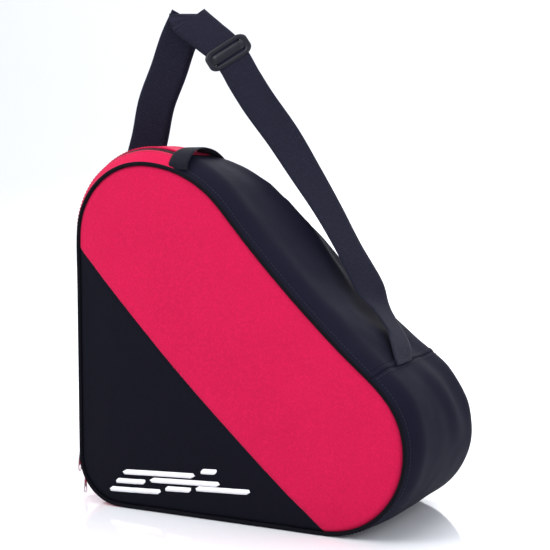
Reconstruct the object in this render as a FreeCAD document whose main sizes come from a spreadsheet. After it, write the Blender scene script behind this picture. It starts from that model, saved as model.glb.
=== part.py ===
"""Skate bag: a soft, wedge-sided bag with a zipped heel side, a carry handle and a shoulder strap.

Millimetres, +Z up. The origin is the centre of the flat base. The front panel is the upright
plane at y = -base_depth / 2 and the rear panel bows forward towards the top of the bag.
"""
import FreeCAD
import Part
import Sketcher
import math
import os

V = FreeCAD.Vector

SIZES = {
    # profile of the bag, seen from the front
    "bag_width": 413.0,
    "bag_height": 400.0,
    "corner_radius": 56.0,
    "heel_radius": 87.0,
    "crown_radius": 140.0,
    "nose_radius": 96.0,
    "hollow_radius": 1500.0,
    # depth from front to back
    "base_depth": 200.0,
    "top_depth": 97.0,
    "heel_bulge": 14.0,
    "nose_bulge": 10.0,
    "bulge_reach": 30.0,
    "edge_tuck": 1.2,
    # fabrics, boards and piping
    "cloth": 1.6,
    "foam": 4.0,
    "board": 3.0,
    "binding": 1.0,
    "binding_width": 6.5,
    "piping": 4.6,
    "gap": 0.3,
    "colour_seam_left": 305.0,
    "colour_seam_run": 323.0,
    "cross_seam_share": 0.955,
    # zip
    "zip_setback": 20.0,
    "zip_chain": 8.0,
    "tape_width": 10.0,
    "tape": 1.0,
    "coil": 1.6,
    "flap_bottom": 62.0,
    "flap_margin": 13.0,
    "fold_setback": 56.0,
    "zip_stop_angle": 52.0,
    # sliders and pulls
    "slider_width": 7.6,
    "slider_length": 9.0,
    "upper_slider_z": 52.0,
    "lower_slider_angle": 30.0,
    "pull_length": 23.0,
    "pull_width": 6.0,
    "pull_thick": 1.2,
    "eye_bar": 1.2,
    # carry handle
    "handle_width": 25.0,
    "handle_rise": 28.0,
    "handle_centre": 48.0,
    "webbing": 1.6,
    # shoulder strap
    "strap_width": 40.0,
    "strap_rise": 173.0,
    "strap_peak_x": 103.0,
    "strap_lift": 8.0,
    "ring_wire": 4.0,
    "adjuster_share": 0.15,
    "adjuster_width": 48.0,
    "adjuster_height": 27.0,
    "adjuster_bar": 4.0,
}

doc = FreeCAD.newDocument("SkateBag")
sheet = doc.addObject("Spreadsheet::Sheet", "Sizes")
for row, (alias, value) in enumerate(SIZES.items(), start=1):
    sheet.set(f"A{row}", alias)
    sheet.set(f"B{row}", str(value))
    sheet.setAlias(f"B{row}", alias)
doc.recompute()


def size(alias):
    """A driving dimension, read from the sheet."""
    return float(sheet.get(alias))


PARTS = []


def keep(item, label):
    """Names an object and puts it on the list of sub-parts that are written out."""
    item.Label = label
    PARTS.append(item)
    return item


def feature(label, shape):
    """A sub-part whose shape is worked out with Part's own functions."""
    item = doc.addObject("Part::Feature", label)
    item.Shape = shape
    return keep(item, label)


# ---------------------------------------------------------------- profile and depth of the bag

WIDTH = size("bag_width")
HEIGHT = size("bag_height")
CLOTH = size("cloth")
GAP = size("gap")
PIPING_R = size("piping") / 2
FRONT_Y = -size("base_depth") / 2
BASE_MIDDLE = (size("corner_radius") + WIDTH - size("nose_radius")) / 2
LEFT = -BASE_MIDDLE
ZIP_Y = FRONT_Y + size("zip_setback")
FLAP_TOP = HEIGHT - size("heel_radius") - size("flap_margin")
# how far cutting shapes reach outside the bag, and into it at the zipped side
CLEAR = 90.0
CORE_GAP = 40.0


def rear_y(z):
    """The rear panel's place at a height: a parabola that is upright at the base."""
    lean = size("base_depth") - size("top_depth")
    return FRONT_Y + size("base_depth") - lean * (z / HEIGHT) ** 2


def on_circle(centre, radius, degrees):
    angle = math.radians(degrees)
    return (centre[0] + radius * math.cos(angle), centre[1] + radius * math.sin(angle))


def profile(heel_grow, nose_grow, floor):
    """The seven stretches of the bag's outline in x and z, each a function of 0 to 1."""
    left = LEFT - heel_grow
    corner_r = size("corner_radius") - floor
    heel_r = size("heel_radius") + heel_grow
    crown_r = size("crown_radius") + heel_grow
    nose_r = size("nose_radius") + (nose_grow - floor) / 2
    hollow_r = size("hollow_radius")
    corner = (left + corner_r, floor + corner_r)
    heel = (left + heel_r, HEIGHT + heel_grow - heel_r)
    crown = (left + heel_r, HEIGHT + heel_grow - crown_r)
    nose = (LEFT + WIDTH + nose_grow - nose_r, floor + nose_r)
    span = math.dist(crown, nose)
    to_crown = hollow_r + crown_r
    to_nose = hollow_r + nose_r
    along = (to_crown ** 2 - to_nose ** 2 + span ** 2) / (2 * span)
    aside = math.sqrt(to_crown ** 2 - along ** 2)
    ux, uz = (nose[0] - crown[0]) / span, (nose[1] - crown[1]) / span
    hollow = (crown[0] + along * ux - aside * uz, crown[1] + along * uz + aside * ux)
    crown_end = math.degrees(math.atan2(hollow[1] - crown[1], hollow[0] - crown[0]))
    nose_start = math.degrees(math.atan2(hollow[1] - nose[1], hollow[0] - nose[0]))

    def line(start, end):
        return lambda t: (start[0] + (end[0] - start[0]) * t, start[1] + (end[1] - start[1]) * t)

    def arc(centre, radius, first, last):
        return lambda t: on_circle(centre, radius, first + (last - first) * t)

    return [
        line((left, corner[1]), (left, heel[1])),
        arc(heel, heel_r, 180, 90),
        arc(crown, crown_r, 90, crown_end),
        arc(hollow, hollow_r, crown_end - 180, nose_start - 180),
        arc(nose, nose_r, nose_start, -90),
        line((nose[0], floor), (corner[0], floor)),
        arc(corner, corner_r, 270, 180),
    ]


SIDE, HEEL, CROWN, DIAGONAL, NOSE, BASE, CORNER = range(7)


def loop(stretches, depth):
    """A closed wire through the seven stretches, at the depth given as a function of height."""
    edges = []
    for stretch in stretches:
        points = []
        for step in range(9):
            x, z = stretch(step / 8)
            points.append(V(x, depth(z), z))
        curve = Part.BSplineCurve()
        curve.interpolate(points)
        edges.append(curve.toShape())
    return Part.Wire(edges)


def bulge_share(setback):
    """How much of the bulge there is at a distance from the front or rear seam."""
    inner = min(setback / size("bulge_reach"), 1.0)
    return math.sin(inner * math.pi / 2)


def swell(bulge, share):
    """How far the side wall stands out: tucked in at its seams, and out by the bulge between them."""
    return (size(bulge) + size("edge_tuck")) * share - size("edge_tuck")


def depth_at(setback, side):
    """Depth as a function of height: a distance behind the front seam or before the rear one."""
    if side == "front":
        return lambda z: FRONT_Y + setback
    if side == "rear":
        return lambda z: rear_y(z) - setback
    return lambda z: (FRONT_Y + rear_y(z)) / 2


RISES = [size("bulge_reach") * share for share in (0.1, 0.333, 0.667)]
PAST_REAR = 50.0


def solid_loft(wires):
    """A solid with straight sides between wires, its faces turned outwards."""
    solid = Part.makeLoft(wires, True, True)
    if solid.Volume < 0:
        solid.reverse()
    return solid


def tube(inset, overshoot, floor):
    """A solid that fills the bag to a distance inside its outer skin, and runs on past its rear."""
    sections = [(PIPING_R - overshoot, "front", 0.0)]
    sections += [(rise, "front", bulge_share(rise)) for rise in RISES]
    sections += [(0.0, "middle", 1.0)]
    sections += [(rise, "rear", bulge_share(rise)) for rise in reversed(RISES)]
    sections += [(0.0, "rear", 0.0)]
    wires = []
    for setback, side, share in sections:
        heel_grow = swell("heel_bulge", share) - inset
        nose_grow = swell("nose_bulge", share) - inset
        wires.append(loop(profile(heel_grow, nose_grow, floor), depth_at(setback, side)))
    past_rear = FRONT_Y + size("base_depth") + PAST_REAR
    tuck = -size("edge_tuck") - inset
    wires.append(loop(profile(tuck, tuck, floor), lambda z: past_rear))
    return solid_loft(wires)


# the outermost skin is made this much too low, and cut flat where the bag stands
SOLE = 0.6


def skin(inset, thickness):
    """The bag's side wall, open at front and back, at a depth below its outer face."""
    outer = tube(inset, 0.0, inset if inset else -SOLE)
    wall = outer.cut(tube(inset + thickness, CLOTH, inset + thickness))
    if not inset:
        below = Part.makeBox(WIDTH + 2 * CLEAR, size("base_depth") + 2 * CLEAR, CLEAR)
        below.translate(V(LEFT - CLEAR, FRONT_Y - CLEAR, -CLEAR))
        wall = wall.cut(below)
    return wall.cut(parabola_slab(PIPING_R, -size("base_depth")))


def polygon_prism(points):
    """A prism along y over a polygon given in x and z."""
    corners = [V(x, FRONT_Y - CLEAR, z) for x, z in points]
    face = Part.Face(Part.makePolygon(corners + corners[:1]))
    return face.extrude(V(0, size("base_depth") + 2 * CLEAR, 0))


def slab(first, last):
    """Everything between two distances behind the front seam."""
    box = Part.makeBox(WIDTH + 2 * CLEAR, last - first, HEIGHT + 2 * CLEAR)
    box.translate(V(LEFT - CLEAR, FRONT_Y + first, -CLEAR))
    return box


OUT = profile(size("heel_bulge"), size("nose_bulge"), 0.0)
CORE = (LEFT + 150, 150)


def share_at_x(stretch, x):
    """Where along a stretch of the outline its x reaches a value, by halving."""
    low, high = 0.0, 1.0
    for _ in range(30):
        middle = (low + high) / 2
        if OUT[stretch](middle)[0] < x:
            low = middle
        else:
            high = middle
    return (low + high) / 2


def beyond(stretch, t, reach=1.35):
    """A point outside the bag, in line with the core and a point of the outline."""
    x, z = OUT[stretch](t)
    return (CORE[0] + (x - CORE[0]) * reach, CORE[1] + (z - CORE[1]) * reach)


HANDLE_X = LEFT + size("heel_radius") + size("handle_centre")
HANDLE_T = share_at_x(CROWN, HANDLE_X)
SEAM_T = size("cross_seam_share")
FLAP_LOW = size("flap_bottom")
CORNER_R = size("corner_radius")
CORNER_TOP = 30.0

def side_zone(low, high):
    """A block over the straight zipped side, between two heights."""
    return [(LEFT - CLEAR, low), (LEFT + CORE_GAP, low), (LEFT + CORE_GAP, high), (LEFT - CLEAR, high)]


SIDE_ZONE = side_zone(FLAP_LOW, FLAP_TOP)
MOVING_ZONE = side_zone(FLAP_LOW + GAP, FLAP_TOP - GAP)
TOP_ZONE = [
    (LEFT - CLEAR, FLAP_TOP),
    (LEFT + CLEAR, FLAP_TOP),
    CORE,
    beyond(CROWN, HANDLE_T),
    (LEFT + CLEAR, HEIGHT + CLEAR),
    (LEFT - CLEAR, HEIGHT + CLEAR),
]
DIAGONAL_ZONE = [CORE, beyond(DIAGONAL, SEAM_T), (LEFT + WIDTH, HEIGHT + CLEAR), beyond(CROWN, HANDLE_T)]
NOSE_ZONE = [
    CORE,
    (CORE[0], CORNER_TOP),
    (LEFT + CORNER_R, CORNER_TOP),
    (LEFT + CORNER_R, -CLEAR),
    (LEFT + WIDTH + CLEAR, -CLEAR),
    beyond(DIAGONAL, SEAM_T),
]
CORNER_ZONE = [
    (LEFT - CLEAR, -CLEAR),
    (LEFT + CORNER_R, -CLEAR),
    (LEFT + CORNER_R, CORNER_TOP),
    (LEFT + CORE_GAP, FLAP_LOW),
    (LEFT - CLEAR, FLAP_LOW),
]
STOP_Z = CORNER_R * (1 - math.sin(math.radians(size("zip_stop_angle"))))
ZIP_CORNER_ZONE = [
    (LEFT - CLEAR, STOP_Z),
    (LEFT + CORNER_R, STOP_Z),
    (LEFT + CORE_GAP, FLAP_LOW),
    (LEFT - CLEAR, FLAP_LOW),
]


def wall_piece(label, wall, zone, first=None, last=None):
    """A piece of the side wall over a zone of the outline, between two distances from the front."""
    shape = wall.common(polygon_prism(zone))
    if first is not None:
        shape = shape.common(slab(first, last))
    return feature(label, shape)


def make_side_wall():
    """The cloth of the side wall: red round the zip, dark down the diagonal and under the base."""
    cloth = skin(0.0, CLOTH)
    setback = size("zip_setback")
    half = size("zip_chain") / 2
    fold = size("fold_setback")
    far = size("base_depth") + PAST_REAR
    wall_piece("gusset_diagonal", cloth, DIAGONAL_ZONE)
    wall_piece("gusset_nose_and_base", cloth, NOSE_ZONE)
    wall_piece("top_strip_front", cloth, TOP_ZONE, 0.0, setback - half)
    wall_piece("top_strip_rear", cloth, TOP_ZONE, setback + half, far)
    wall_piece("corner_strip_front", cloth, CORNER_ZONE, 0.0, setback - half)
    wall_piece("corner_strip_rear", cloth, CORNER_ZONE, setback + half, far)
    wall_piece("front_zip_flap", cloth, MOVING_ZONE, PIPING_R + 2 * GAP, setback - half)
    wall_piece("rear_zip_flap", cloth, MOVING_ZONE, setback + half, fold - GAP)
    wall_piece("side_wall_rear", cloth, SIDE_ZONE, fold, far)


# half the slit between the two coils, and the coils' outer edge, from the middle of the zip
CHAIN_GAP = 0.4
COIL_HALF = 2.4


def make_zip():
    """Each half of the zip, as a tape with its coil, in the fixed and the folding stretches."""
    under = CLOTH + GAP / 2
    tape = skin(under, size("tape"))
    coil = skin(under + size("tape"), size("coil"))
    setback = size("zip_setback")
    wide = size("tape_width")
    zones = {"top": TOP_ZONE, "side": MOVING_ZONE, "corner": ZIP_CORNER_ZONE}
    for place, zone in zones.items():
        column = polygon_prism(zone)
        for side, sign in (("front", -1), ("rear", 1)):
            near = setback + sign * CHAIN_GAP
            tape_far = setback + sign * wide
            coil_far = setback + sign * COIL_HALF
            strip = tape.common(column).common(slab(min(near, tape_far), max(near, tape_far)))
            bead = coil.common(column).common(slab(min(near, coil_far), max(near, coil_far)))
            feature(f"zip_half_{side}_{place}", strip.fuse(bead))


def make_bindings():
    """The tapes that bind the raw edges of the front and rear seams inside the bag."""
    under = CLOTH + GAP
    ring = skin(under, size("binding"))
    wide = size("binding_width")
    feature("front_seam_binding", ring.common(slab(PIPING_R + GAP, PIPING_R + GAP + wide)))
    feature("rear_seam_binding", ring.common(parabola_slab(PIPING_R + GAP + wide, PIPING_R + GAP)))


# ---------------------------------------------------------------- panels, boards and piping


def parabola_slab(front_gap, back_gap):
    """The space between two copies of the rear panel's curve, across the whole width."""
    low, high = -20.0, HEIGHT + 40.0

    def curve(offset):
        middle = (low + high) / 2
        slope = -2 * (size("base_depth") - size("top_depth")) * low / HEIGHT ** 2
        control_y = rear_y(low) + slope * (middle - low)
        arc = Part.BezierCurve()
        arc.setPoles([
            V(LEFT - 50, rear_y(low) - offset, low),
            V(LEFT - 50, control_y - offset, middle),
            V(LEFT - 50, rear_y(high) - offset, high),
        ])
        return arc.toShape()

    near, far = curve(front_gap), curve(back_gap)
    start = Part.makeLine(near.Vertexes[0].Point, far.Vertexes[0].Point)
    end = Part.makeLine(near.Vertexes[1].Point, far.Vertexes[1].Point)
    face = Part.Face(Part.Wire([near, end, far, start]))
    return face.extrude(V(WIDTH + 100, 0, 0))


def flat_outline(inset):
    """The outline in the xz plane, made of true lines and arcs, at a distance inside the edge."""
    edges = []
    for stretch in profile(-inset, -inset, inset):
        first, middle, last = (V(x, 0, z) for x, z in (stretch(0.0), stretch(0.5), stretch(1.0)))
        if (middle - (first + last) / 2).Length < 1e-6:
            edges.append(Part.makeLine(first, last))
        else:
            edges.append(Part.Arc(first, middle, last).toShape())
    return Part.Wire(edges)


def outline_prism(inset):
    face = Part.Face(flat_outline(inset))
    face.translate(V(0, FRONT_Y - 40, 0))
    return face.extrude(V(0, size("base_depth") + 80, 0))


def make_rear():
    """The rear panel, its foam sheet and the piping in its seam."""
    half = CLOTH / 2
    panel = outline_prism(size("piping") + 2 * GAP).common(parabola_slab(half, -half))
    feature("rear_panel", panel)
    foam_far = half + GAP / 2
    foam = outline_prism(size("piping") + 2).common(parabola_slab(foam_far + size("foam"), foam_far))
    feature("rear_foam_sheet", foam)
    feature("rear_piping", piping_ring(lambda z: rear_y(z)))


def piping_ring(depth):
    """A round cord that follows the outline at a depth."""
    points = []
    for stretch in profile(-PIPING_R, -PIPING_R, PIPING_R + GAP):
        for step in range(6):
            x, z = stretch(step / 6)
            points.append(V(x, depth(z), z))
    path = Part.BSplineCurve()
    path.interpolate(points, PeriodicFlag=True)
    edge = path.toShape()
    sweep = Part.BRepOffsetAPI.MakePipeShell(Part.Wire(edge))
    sweep.setBiNormalMode(V(0, 1, 0))
    tangent = edge.tangentAt(edge.FirstParameter)
    sweep.add(Part.Wire(Part.makeCircle(PIPING_R, points[0], tangent)))
    sweep.build()
    sweep.makeSolid()
    ring = sweep.shape()
    if ring.Volume < 0:
        ring.reverse()
    return ring


def outline_sketch(body, name, inset):
    """A sketch of the bag's outline, tied to the sheet, at a distance inside the edge."""
    plane = [f for f in body.Origin.OriginFeatures if f.Role == "XZ_Plane"][0]
    sketch = body.newObject("Sketcher::SketchObject", name)
    sketch.AttachmentSupport = [(plane, "")]
    sketch.MapMode = "FlatFace"
    for edge in flat_outline(inset).Edges:
        curve = edge.Curve
        ends = [edge.valueAt(edge.FirstParameter), edge.valueAt(edge.LastParameter)]
        if isinstance(curve, Part.Line):
            sketch.addGeometry(Part.LineSegment(*[V(p.x, p.z, 0) for p in ends]))
        else:
            mid = edge.valueAt((edge.FirstParameter + edge.LastParameter) / 2)
            arc = Part.Arc(*[V(p.x, p.z, 0) for p in (ends[0], mid, ends[1])])
            sketch.addGeometry(arc)
    return sketch


def tie(sketch, inset):
    """Constrains an outline sketch: tangent stretches, radii and overall sizes."""
    count = 7
    ends = {}
    for index in range(count):
        ends[index] = [sketch.getPoint(index, 1), sketch.getPoint(index, 2)]
    for index in range(count):
        after = (index + 1) % count
        pairs = [(a, b) for a in (0, 1) for b in (0, 1)]
        a, b = min(pairs, key=lambda p: ends[index][p[0]].distanceToPoint(ends[after][p[1]]))
        sketch.addConstraint(Sketcher.Constraint("Tangent", index, a + 1, after, b + 1))
    shift = f"{inset}"
    radii = {
        HEEL: f"Sizes.heel_radius - {shift}",
        CROWN: f"Sizes.crown_radius - {shift}",
        DIAGONAL: "Sizes.hollow_radius",
        NOSE: f"Sizes.nose_radius - {shift}",
        CORNER: f"Sizes.corner_radius - {shift}",
    }
    for index, expression in radii.items():
        radius = sketch.Geometry[index].Radius
        number = sketch.addConstraint(Sketcher.Constraint("Radius", index, radius))
        sketch.setExpression(f"Constraints[{number}]", expression)
    sketch.addConstraint(Sketcher.Constraint("Vertical", SIDE))
    sketch.addConstraint(Sketcher.Constraint("Horizontal", BASE))
    middle = "(Sizes.corner_radius + Sizes.bag_width - Sizes.nose_radius) / 2"
    places = [
        ("DistanceX", (SIDE, 1, -1, 1), f"{middle} - {shift}"),
        ("DistanceY", (-1, 1, BASE, 1), shift),
        ("DistanceX", (CROWN, 3, -1, 1), f"{middle} - Sizes.heel_radius"),
        ("DistanceY", (-1, 1, CROWN, 3), "Sizes.bag_height - Sizes.crown_radius"),
        ("DistanceX", (-1, 1, NOSE, 3), f"Sizes.bag_width - Sizes.nose_radius - {middle}"),
    ]
    for kind, (first, first_end, second, second_end), expression in places:
        start = sketch.getPoint(first, first_end)
        end = sketch.getPoint(second, second_end)
        value = (end - start).x if kind == "DistanceX" else (end - start).y
        entry = Sketcher.Constraint(kind, first, first_end, second, second_end, value)
        number = sketch.addConstraint(entry)
        sketch.setExpression(f"Constraints[{number}]", expression)


def rectangle(body, name, role, x_start, x_end, y_start, y_end):
    """A rectangle sketch whose four sides are placed by expressions."""
    plane = [f for f in body.Origin.OriginFeatures if f.Role == role][0]
    sketch = body.newObject("Sketcher::SketchObject", name)
    sketch.AttachmentSupport = [(plane, "")]
    sketch.MapMode = "FlatFace"
    corners = [V(-1, -1, 0), V(1, -1, 0), V(1, 1, 0), V(-1, 1, 0)]
    for index in range(4):
        sketch.addGeometry(Part.LineSegment(corners[index], corners[(index + 1) % 4]))
    for index in range(4):
        entry = Sketcher.Constraint("Coincident", index, 2, (index + 1) % 4, 1)
        sketch.addConstraint(entry)
    for index in (0, 2):
        sketch.addConstraint(Sketcher.Constraint("Horizontal", index))
        sketch.addConstraint(Sketcher.Constraint("Vertical", index + 1))
    sides = [
        ("DistanceX", 0, 1, -1.0, x_start),
        ("DistanceX", 0, 2, 1.0, x_end),
        ("DistanceY", 0, 1, -1.0, y_start),
        ("DistanceY", 2, 1, 1.0, y_end),
    ]
    for kind, line, end, value, expression in sides:
        number = sketch.addConstraint(Sketcher.Constraint(kind, -1, 1, line, end, value))
        sketch.setExpression(f"Constraints[{number}]", expression)
    return sketch


def pad(body, name, sketch, length, mid=False):
    grown = body.newObject("PartDesign::Pad", name)
    grown.Profile = sketch
    grown.Midplane = mid
    grown.setExpression("Length", length)
    return grown


def pocket(body, name, sketch):
    cut = body.newObject("PartDesign::Pocket", name)
    cut.Profile = sketch
    cut.Type = "ThroughAll"
    cut.Midplane = True
    return cut


def front_panel(label, keep_above):
    """One colour of the front panel: the outline padded, then cut off along the colour seam."""
    body = doc.addObject("PartDesign::Body", label)
    inset = size("piping") + 2 * GAP
    sketch = outline_sketch(body, label + "_outline", inset)
    tie(sketch, "(Sizes.piping + 2 * Sizes.gap)")
    doc.recompute()
    pad(body, label + "_cloth", sketch, "Sizes.cloth", mid=True)
    plane = [f for f in body.Origin.OriginFeatures if f.Role == "XZ_Plane"][0]
    cutter = body.newObject("Sketcher::SketchObject", label + "_colour_seam")
    cutter.AttachmentSupport = [(plane, "")]
    cutter.MapMode = "FlatFace"
    far = -600.0 if keep_above else 900.0
    start = V(LEFT, size("colour_seam_left"), 0)
    end = V(LEFT + size("colour_seam_run"), 0, 0)
    run = (end - start).normalize() * 250
    corners = [start - run, end + run]
    corners += [V(end.x + run.x, far, 0), V(start.x - run.x, far, 0)]
    for index in range(4):
        cutter.addGeometry(Part.LineSegment(corners[index], corners[(index + 1) % 4]))
    for index in range(4):
        cutter.addConstraint(Sketcher.Constraint("Coincident", index, 2, (index + 1) % 4, 1))
    pocket(body, label + "_cut", cutter)
    body.setExpression("Placement.Base.y", "-Sizes.base_depth / 2")
    return keep(body, label)


def make_front():
    front_panel("front_panel_red", True)
    front_panel("front_panel_black", False)
    body = doc.addObject("PartDesign::Body", "front_foam_sheet")
    sketch = outline_sketch(body, "foam_outline", size("piping") + 2)
    tie(sketch, "(Sizes.piping + 2)")
    doc.recompute()
    pad(body, "foam_pad", sketch, "Sizes.foam", mid=True)
    place = "-Sizes.base_depth / 2 + (Sizes.cloth + Sizes.foam + Sizes.gap) / 2"
    body.setExpression("Placement.Base.y", place)
    keep(body, "front_foam_sheet")
    feature("front_piping", piping_ring(lambda z: FRONT_Y))


def make_base_board():
    body = doc.addObject("PartDesign::Body", "base_board")
    half = "(Sizes.bag_width - Sizes.nose_radius - Sizes.corner_radius) / 2"
    back = "(Sizes.base_depth / 2 - Sizes.foam - Sizes.cloth - 6)"
    sketch = rectangle(body, "board_outline", "XY_Plane", f"-{half}", half, f"-{back}", back)
    pad(body, "board_pad", sketch, "Sizes.board")
    body.setExpression("Placement.Base.z", "Sizes.cloth + Sizes.binding + 2 * Sizes.gap")
    keep(body, "base_board")


# ---------------------------------------------------------------- sliders and pulls


def block(name, starts, lengths):
    """A box whose corner and sizes are expressions."""
    item = doc.addObject("Part::Box", name)
    for axis, start in zip("xyz", starts):
        item.setExpression(f"Placement.Base.{axis}", start)
    for side, length in zip(("Length", "Width", "Height"), lengths):
        item.setExpression(side, length)
    return item


def cross_bar(name, radius, width, x, z):
    """A round bar along y, centred on y = 0."""
    item = doc.addObject("Part::Cylinder", name)
    item.setExpression("Radius", radius)
    item.setExpression("Height", width)
    item.Placement = FreeCAD.Placement(V(0, 0, 0), FreeCAD.Rotation(V(1, 0, 0), -90))
    item.setExpression("Placement.Base.x", x)
    item.setExpression("Placement.Base.y", f"-({width}) / 2")
    item.setExpression("Placement.Base.z", z)
    return item


# the outer plate's thickness, and the room behind the coils for the bend at the bag's corner
PLATE = "1.8"
INNER_GAP = "2.2"
EYE_X = "-2.6"
EYE_GAP = "1.6"


def make_slider(label, place, tilt):
    """A zip slider: two plates joined by a post, with two cheeks and a bar for the pull.

    Its own x axis runs into the bag from the cloth's outer face, and z runs up the zip.
    """
    long, wide = "Sizes.slider_length", "Sizes.slider_width"
    under = "(Sizes.cloth + Sizes.gap / 2 + Sizes.tape + Sizes.coil)"
    pieces = [
        block(label + "_outer_plate", ("-0.6", f"-{wide} / 2", f"-{long} / 2"), (PLATE, wide, long)),
        block(label + "_inner_plate", (f"{under} + {INNER_GAP}", f"-{wide} / 2", f"-{long} / 2"),
              ("1.4", wide, long)),
        block(label + "_post", ("1", "-0.25", "0"), (f"{under} + {INNER_GAP}", "0.5", f"{long} / 2 - 0.5")),
        cross_bar(label + "_bar", "Sizes.eye_bar / 2", "4.6", EYE_X, "0"),
    ]
    for side, start in (("left", "-2.3"), ("right", "1.5")):
        pieces.append(block(f"{label}_{side}_cheek", ("-3.2", start, "-1.2"), ("3", "0.8", "2.4")))
    whole = doc.addObject("Part::MultiFuse", label)
    whole.Shapes = pieces
    whole.Placement = FreeCAD.Placement(place, FreeCAD.Rotation(V(0, 1, 0), tilt))
    return keep(whole, label)


def make_pull(label, place):
    """A zip pull that hangs from a slider's bar: an eye, a flat tab and an oval hole at its end."""
    eye = cross_bar(label + "_eye", "Sizes.eye_bar / 2 + 0.95", "2.6", "0", "0")
    neck = block(label + "_neck", ("-Sizes.pull_thick / 2", "-1.3", "-5"),
                 ("Sizes.pull_thick", "2.6", "4"))
    long = "(Sizes.pull_length - 3)"
    tab = block(label + "_tab", ("-Sizes.pull_thick / 2", "-Sizes.pull_width / 2", f"-{long} - 3"),
                ("Sizes.pull_thick", "Sizes.pull_width", long))
    whole = doc.addObject("Part::MultiFuse", label + "_blank")
    whole.Shapes = [eye, neck, tab]
    hole = block(label + "_hole", ("-2", "-Sizes.pull_width / 4", "-Sizes.pull_length + 2"),
                 ("4", "Sizes.pull_width / 2", "Sizes.pull_length / 4"))
    bore = cross_bar(label + "_bore", "Sizes.eye_bar / 2 + 0.2", "6", "0", "0")
    tools = doc.addObject("Part::MultiFuse", label + "_tools")
    tools.Shapes = [hole, bore]
    cut = doc.addObject("Part::Cut", label)
    cut.Base = whole
    cut.Tool = tools
    cut.Placement = FreeCAD.Placement(place, FreeCAD.Rotation())
    return keep(cut, label)


def zip_surface():
    """The x of the cloth's outer face on the straight stretch of the zip."""
    share = bulge_share(size("zip_setback"))
    return LEFT - swell("heel_bulge", share)


def make_sliders():
    face_x = zip_surface()
    eye_x = float(EYE_X)
    upper = V(face_x, ZIP_Y, size("upper_slider_z"))
    make_slider("upper_slider", upper, 0)
    make_pull("upper_pull", upper + V(eye_x, 0, 0))
    angle = size("lower_slider_angle")
    radius = size("corner_radius")
    x, z = on_circle((face_x + radius, radius), radius, 180 + angle)
    make_slider("lower_slider", V(x, ZIP_Y, z), -angle)
    x, z = on_circle((face_x + radius, radius), radius - eye_x, 180 + angle)
    make_pull("lower_pull", V(x, ZIP_Y, z))


# ---------------------------------------------------------------- webbing


def ribbon(stations, thickness):
    """A flat strap through stations: a point, a direction across it, its face's normal, a width."""
    wires = []
    for point, across, face, width in stations:
        out = FreeCAD.Vector(face)
        out.normalize()
        wide = FreeCAD.Vector(across)
        wide.normalize()
        corners = []
        for side, level in ((-1, -1), (1, -1), (1, 1), (-1, 1)):
            corners.append(point + wide * (side * width / 2) + out * (level * thickness / 2))
        wires.append(Part.makePolygon(corners + corners[:1]))
    return solid_loft(wires)


def skin_point(stretch, t, setback, lift):
    """A point over the bag's outer face, at a distance above it, and the face's normal there."""
    share = bulge_share(setback)
    heel_grow = swell("heel_bulge", share) + lift
    nose_grow = swell("nose_bulge", share) + lift
    x, z = profile(heel_grow, nose_grow, 0.0)[stretch](t)
    return V(x, FRONT_Y + setback, z)


def make_handle():
    """The carry handle: a low arch of webbing over the top, with a sewn foot at each seam."""
    wide = size("handle_width")
    thick = size("webbing")
    across = V(1, 0, 0)
    low = profile(0, 0, 0)[CROWN](HANDLE_T)[1]
    top = low + size("handle_rise")
    back = rear_y(low)
    front = FRONT_Y
    side = HANDLE_X
    neck = wide * 0.4
    arch = [
        (front + 7.6, low + 12.6, -0.8, 0.6, neck),
        (front + 17, low + 20.5, -0.6, 0.8, wide),
        (front + 31, top, -0.2, 1.0, wide),
        (back - 38, top, 0.2, 1.0, wide),
        (back - 20, low + 20.5, 0.5, 0.9, wide),
        (back - 7.6, low + 12.6, 0.6, 0.8, neck),
    ]
    stations = [(V(side, y, z), across, V(0, tilt, up), broad) for y, z, tilt, up, broad in arch]
    feature("carry_handle", ribbon(stations, thick))
    for name, start, inward in (("front", front + 2.8, 1), ("rear", back - 2.8, -1)):
        rise = ((0.0, -0.5), (1.0, 5.5), (3.0, 10.6))
        foot = [
            (V(side, start + inward * y, low + z), across, V(0, -inward, 0.2), wide)
            for y, z in rise
        ]
        feature(f"handle_foot_{name}", ribbon(foot, thick))


# directions in the held-up strap: its front run, its rear run, and the fold over its top
RUN_ACROSS = V(0.757, 0.386, 0.53)
RUN_FACE = V(0.317, -0.923, 0.22)
REAR_ACROSS = V(0.85, 0.42, -0.30)
REAR_FACE = V(-0.38, 0.91, 0.18)
FOLD_ACROSS = V(0.888, 0.46, 0.0)
FOLD_FRONT = V(0.46, -0.888, 0.0)
UP = V(0, 0, 1)
LAYER = size("webbing") + 4 * GAP


def strap_points():
    """The strap's sewn end, where it lifts off, its highest point and its rear ring's bar."""
    foot = skin_point(DIAGONAL, SEAM_T, 76.0, GAP + size("webbing") / 2)
    middle = skin_point(DIAGONAL, SEAM_T - 0.09, 86.0, size("strap_lift") / 2)
    lift_off = skin_point(DIAGONAL, SEAM_T - 0.18, 97.0, size("strap_lift"))
    peak = V(LEFT + size("strap_peak_x"), FRONT_Y + 100, HEIGHT + size("strap_rise"))
    seam_x, seam_z = profile(0, 0, 0)[HEEL](0.45)
    bar = V(seam_x - 6, rear_y(seam_z) + 3, seam_z + 9)
    return foot, middle, lift_off, peak, bar


FOOT, MIDDLE, LIFT_OFF, PEAK, BAR = strap_points()
RUN = PEAK - LIFT_OFF
RUN_LENGTH = RUN.Length
REAR_RUN = BAR - PEAK
RING_WIDTH = size("strap_width") + 3.0
RING_HEIGHT = 7.0
FOLD_RADIUS = 5.0
FOLD_DROP = 6.0
FOLD_SKEW = 24.0


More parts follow.
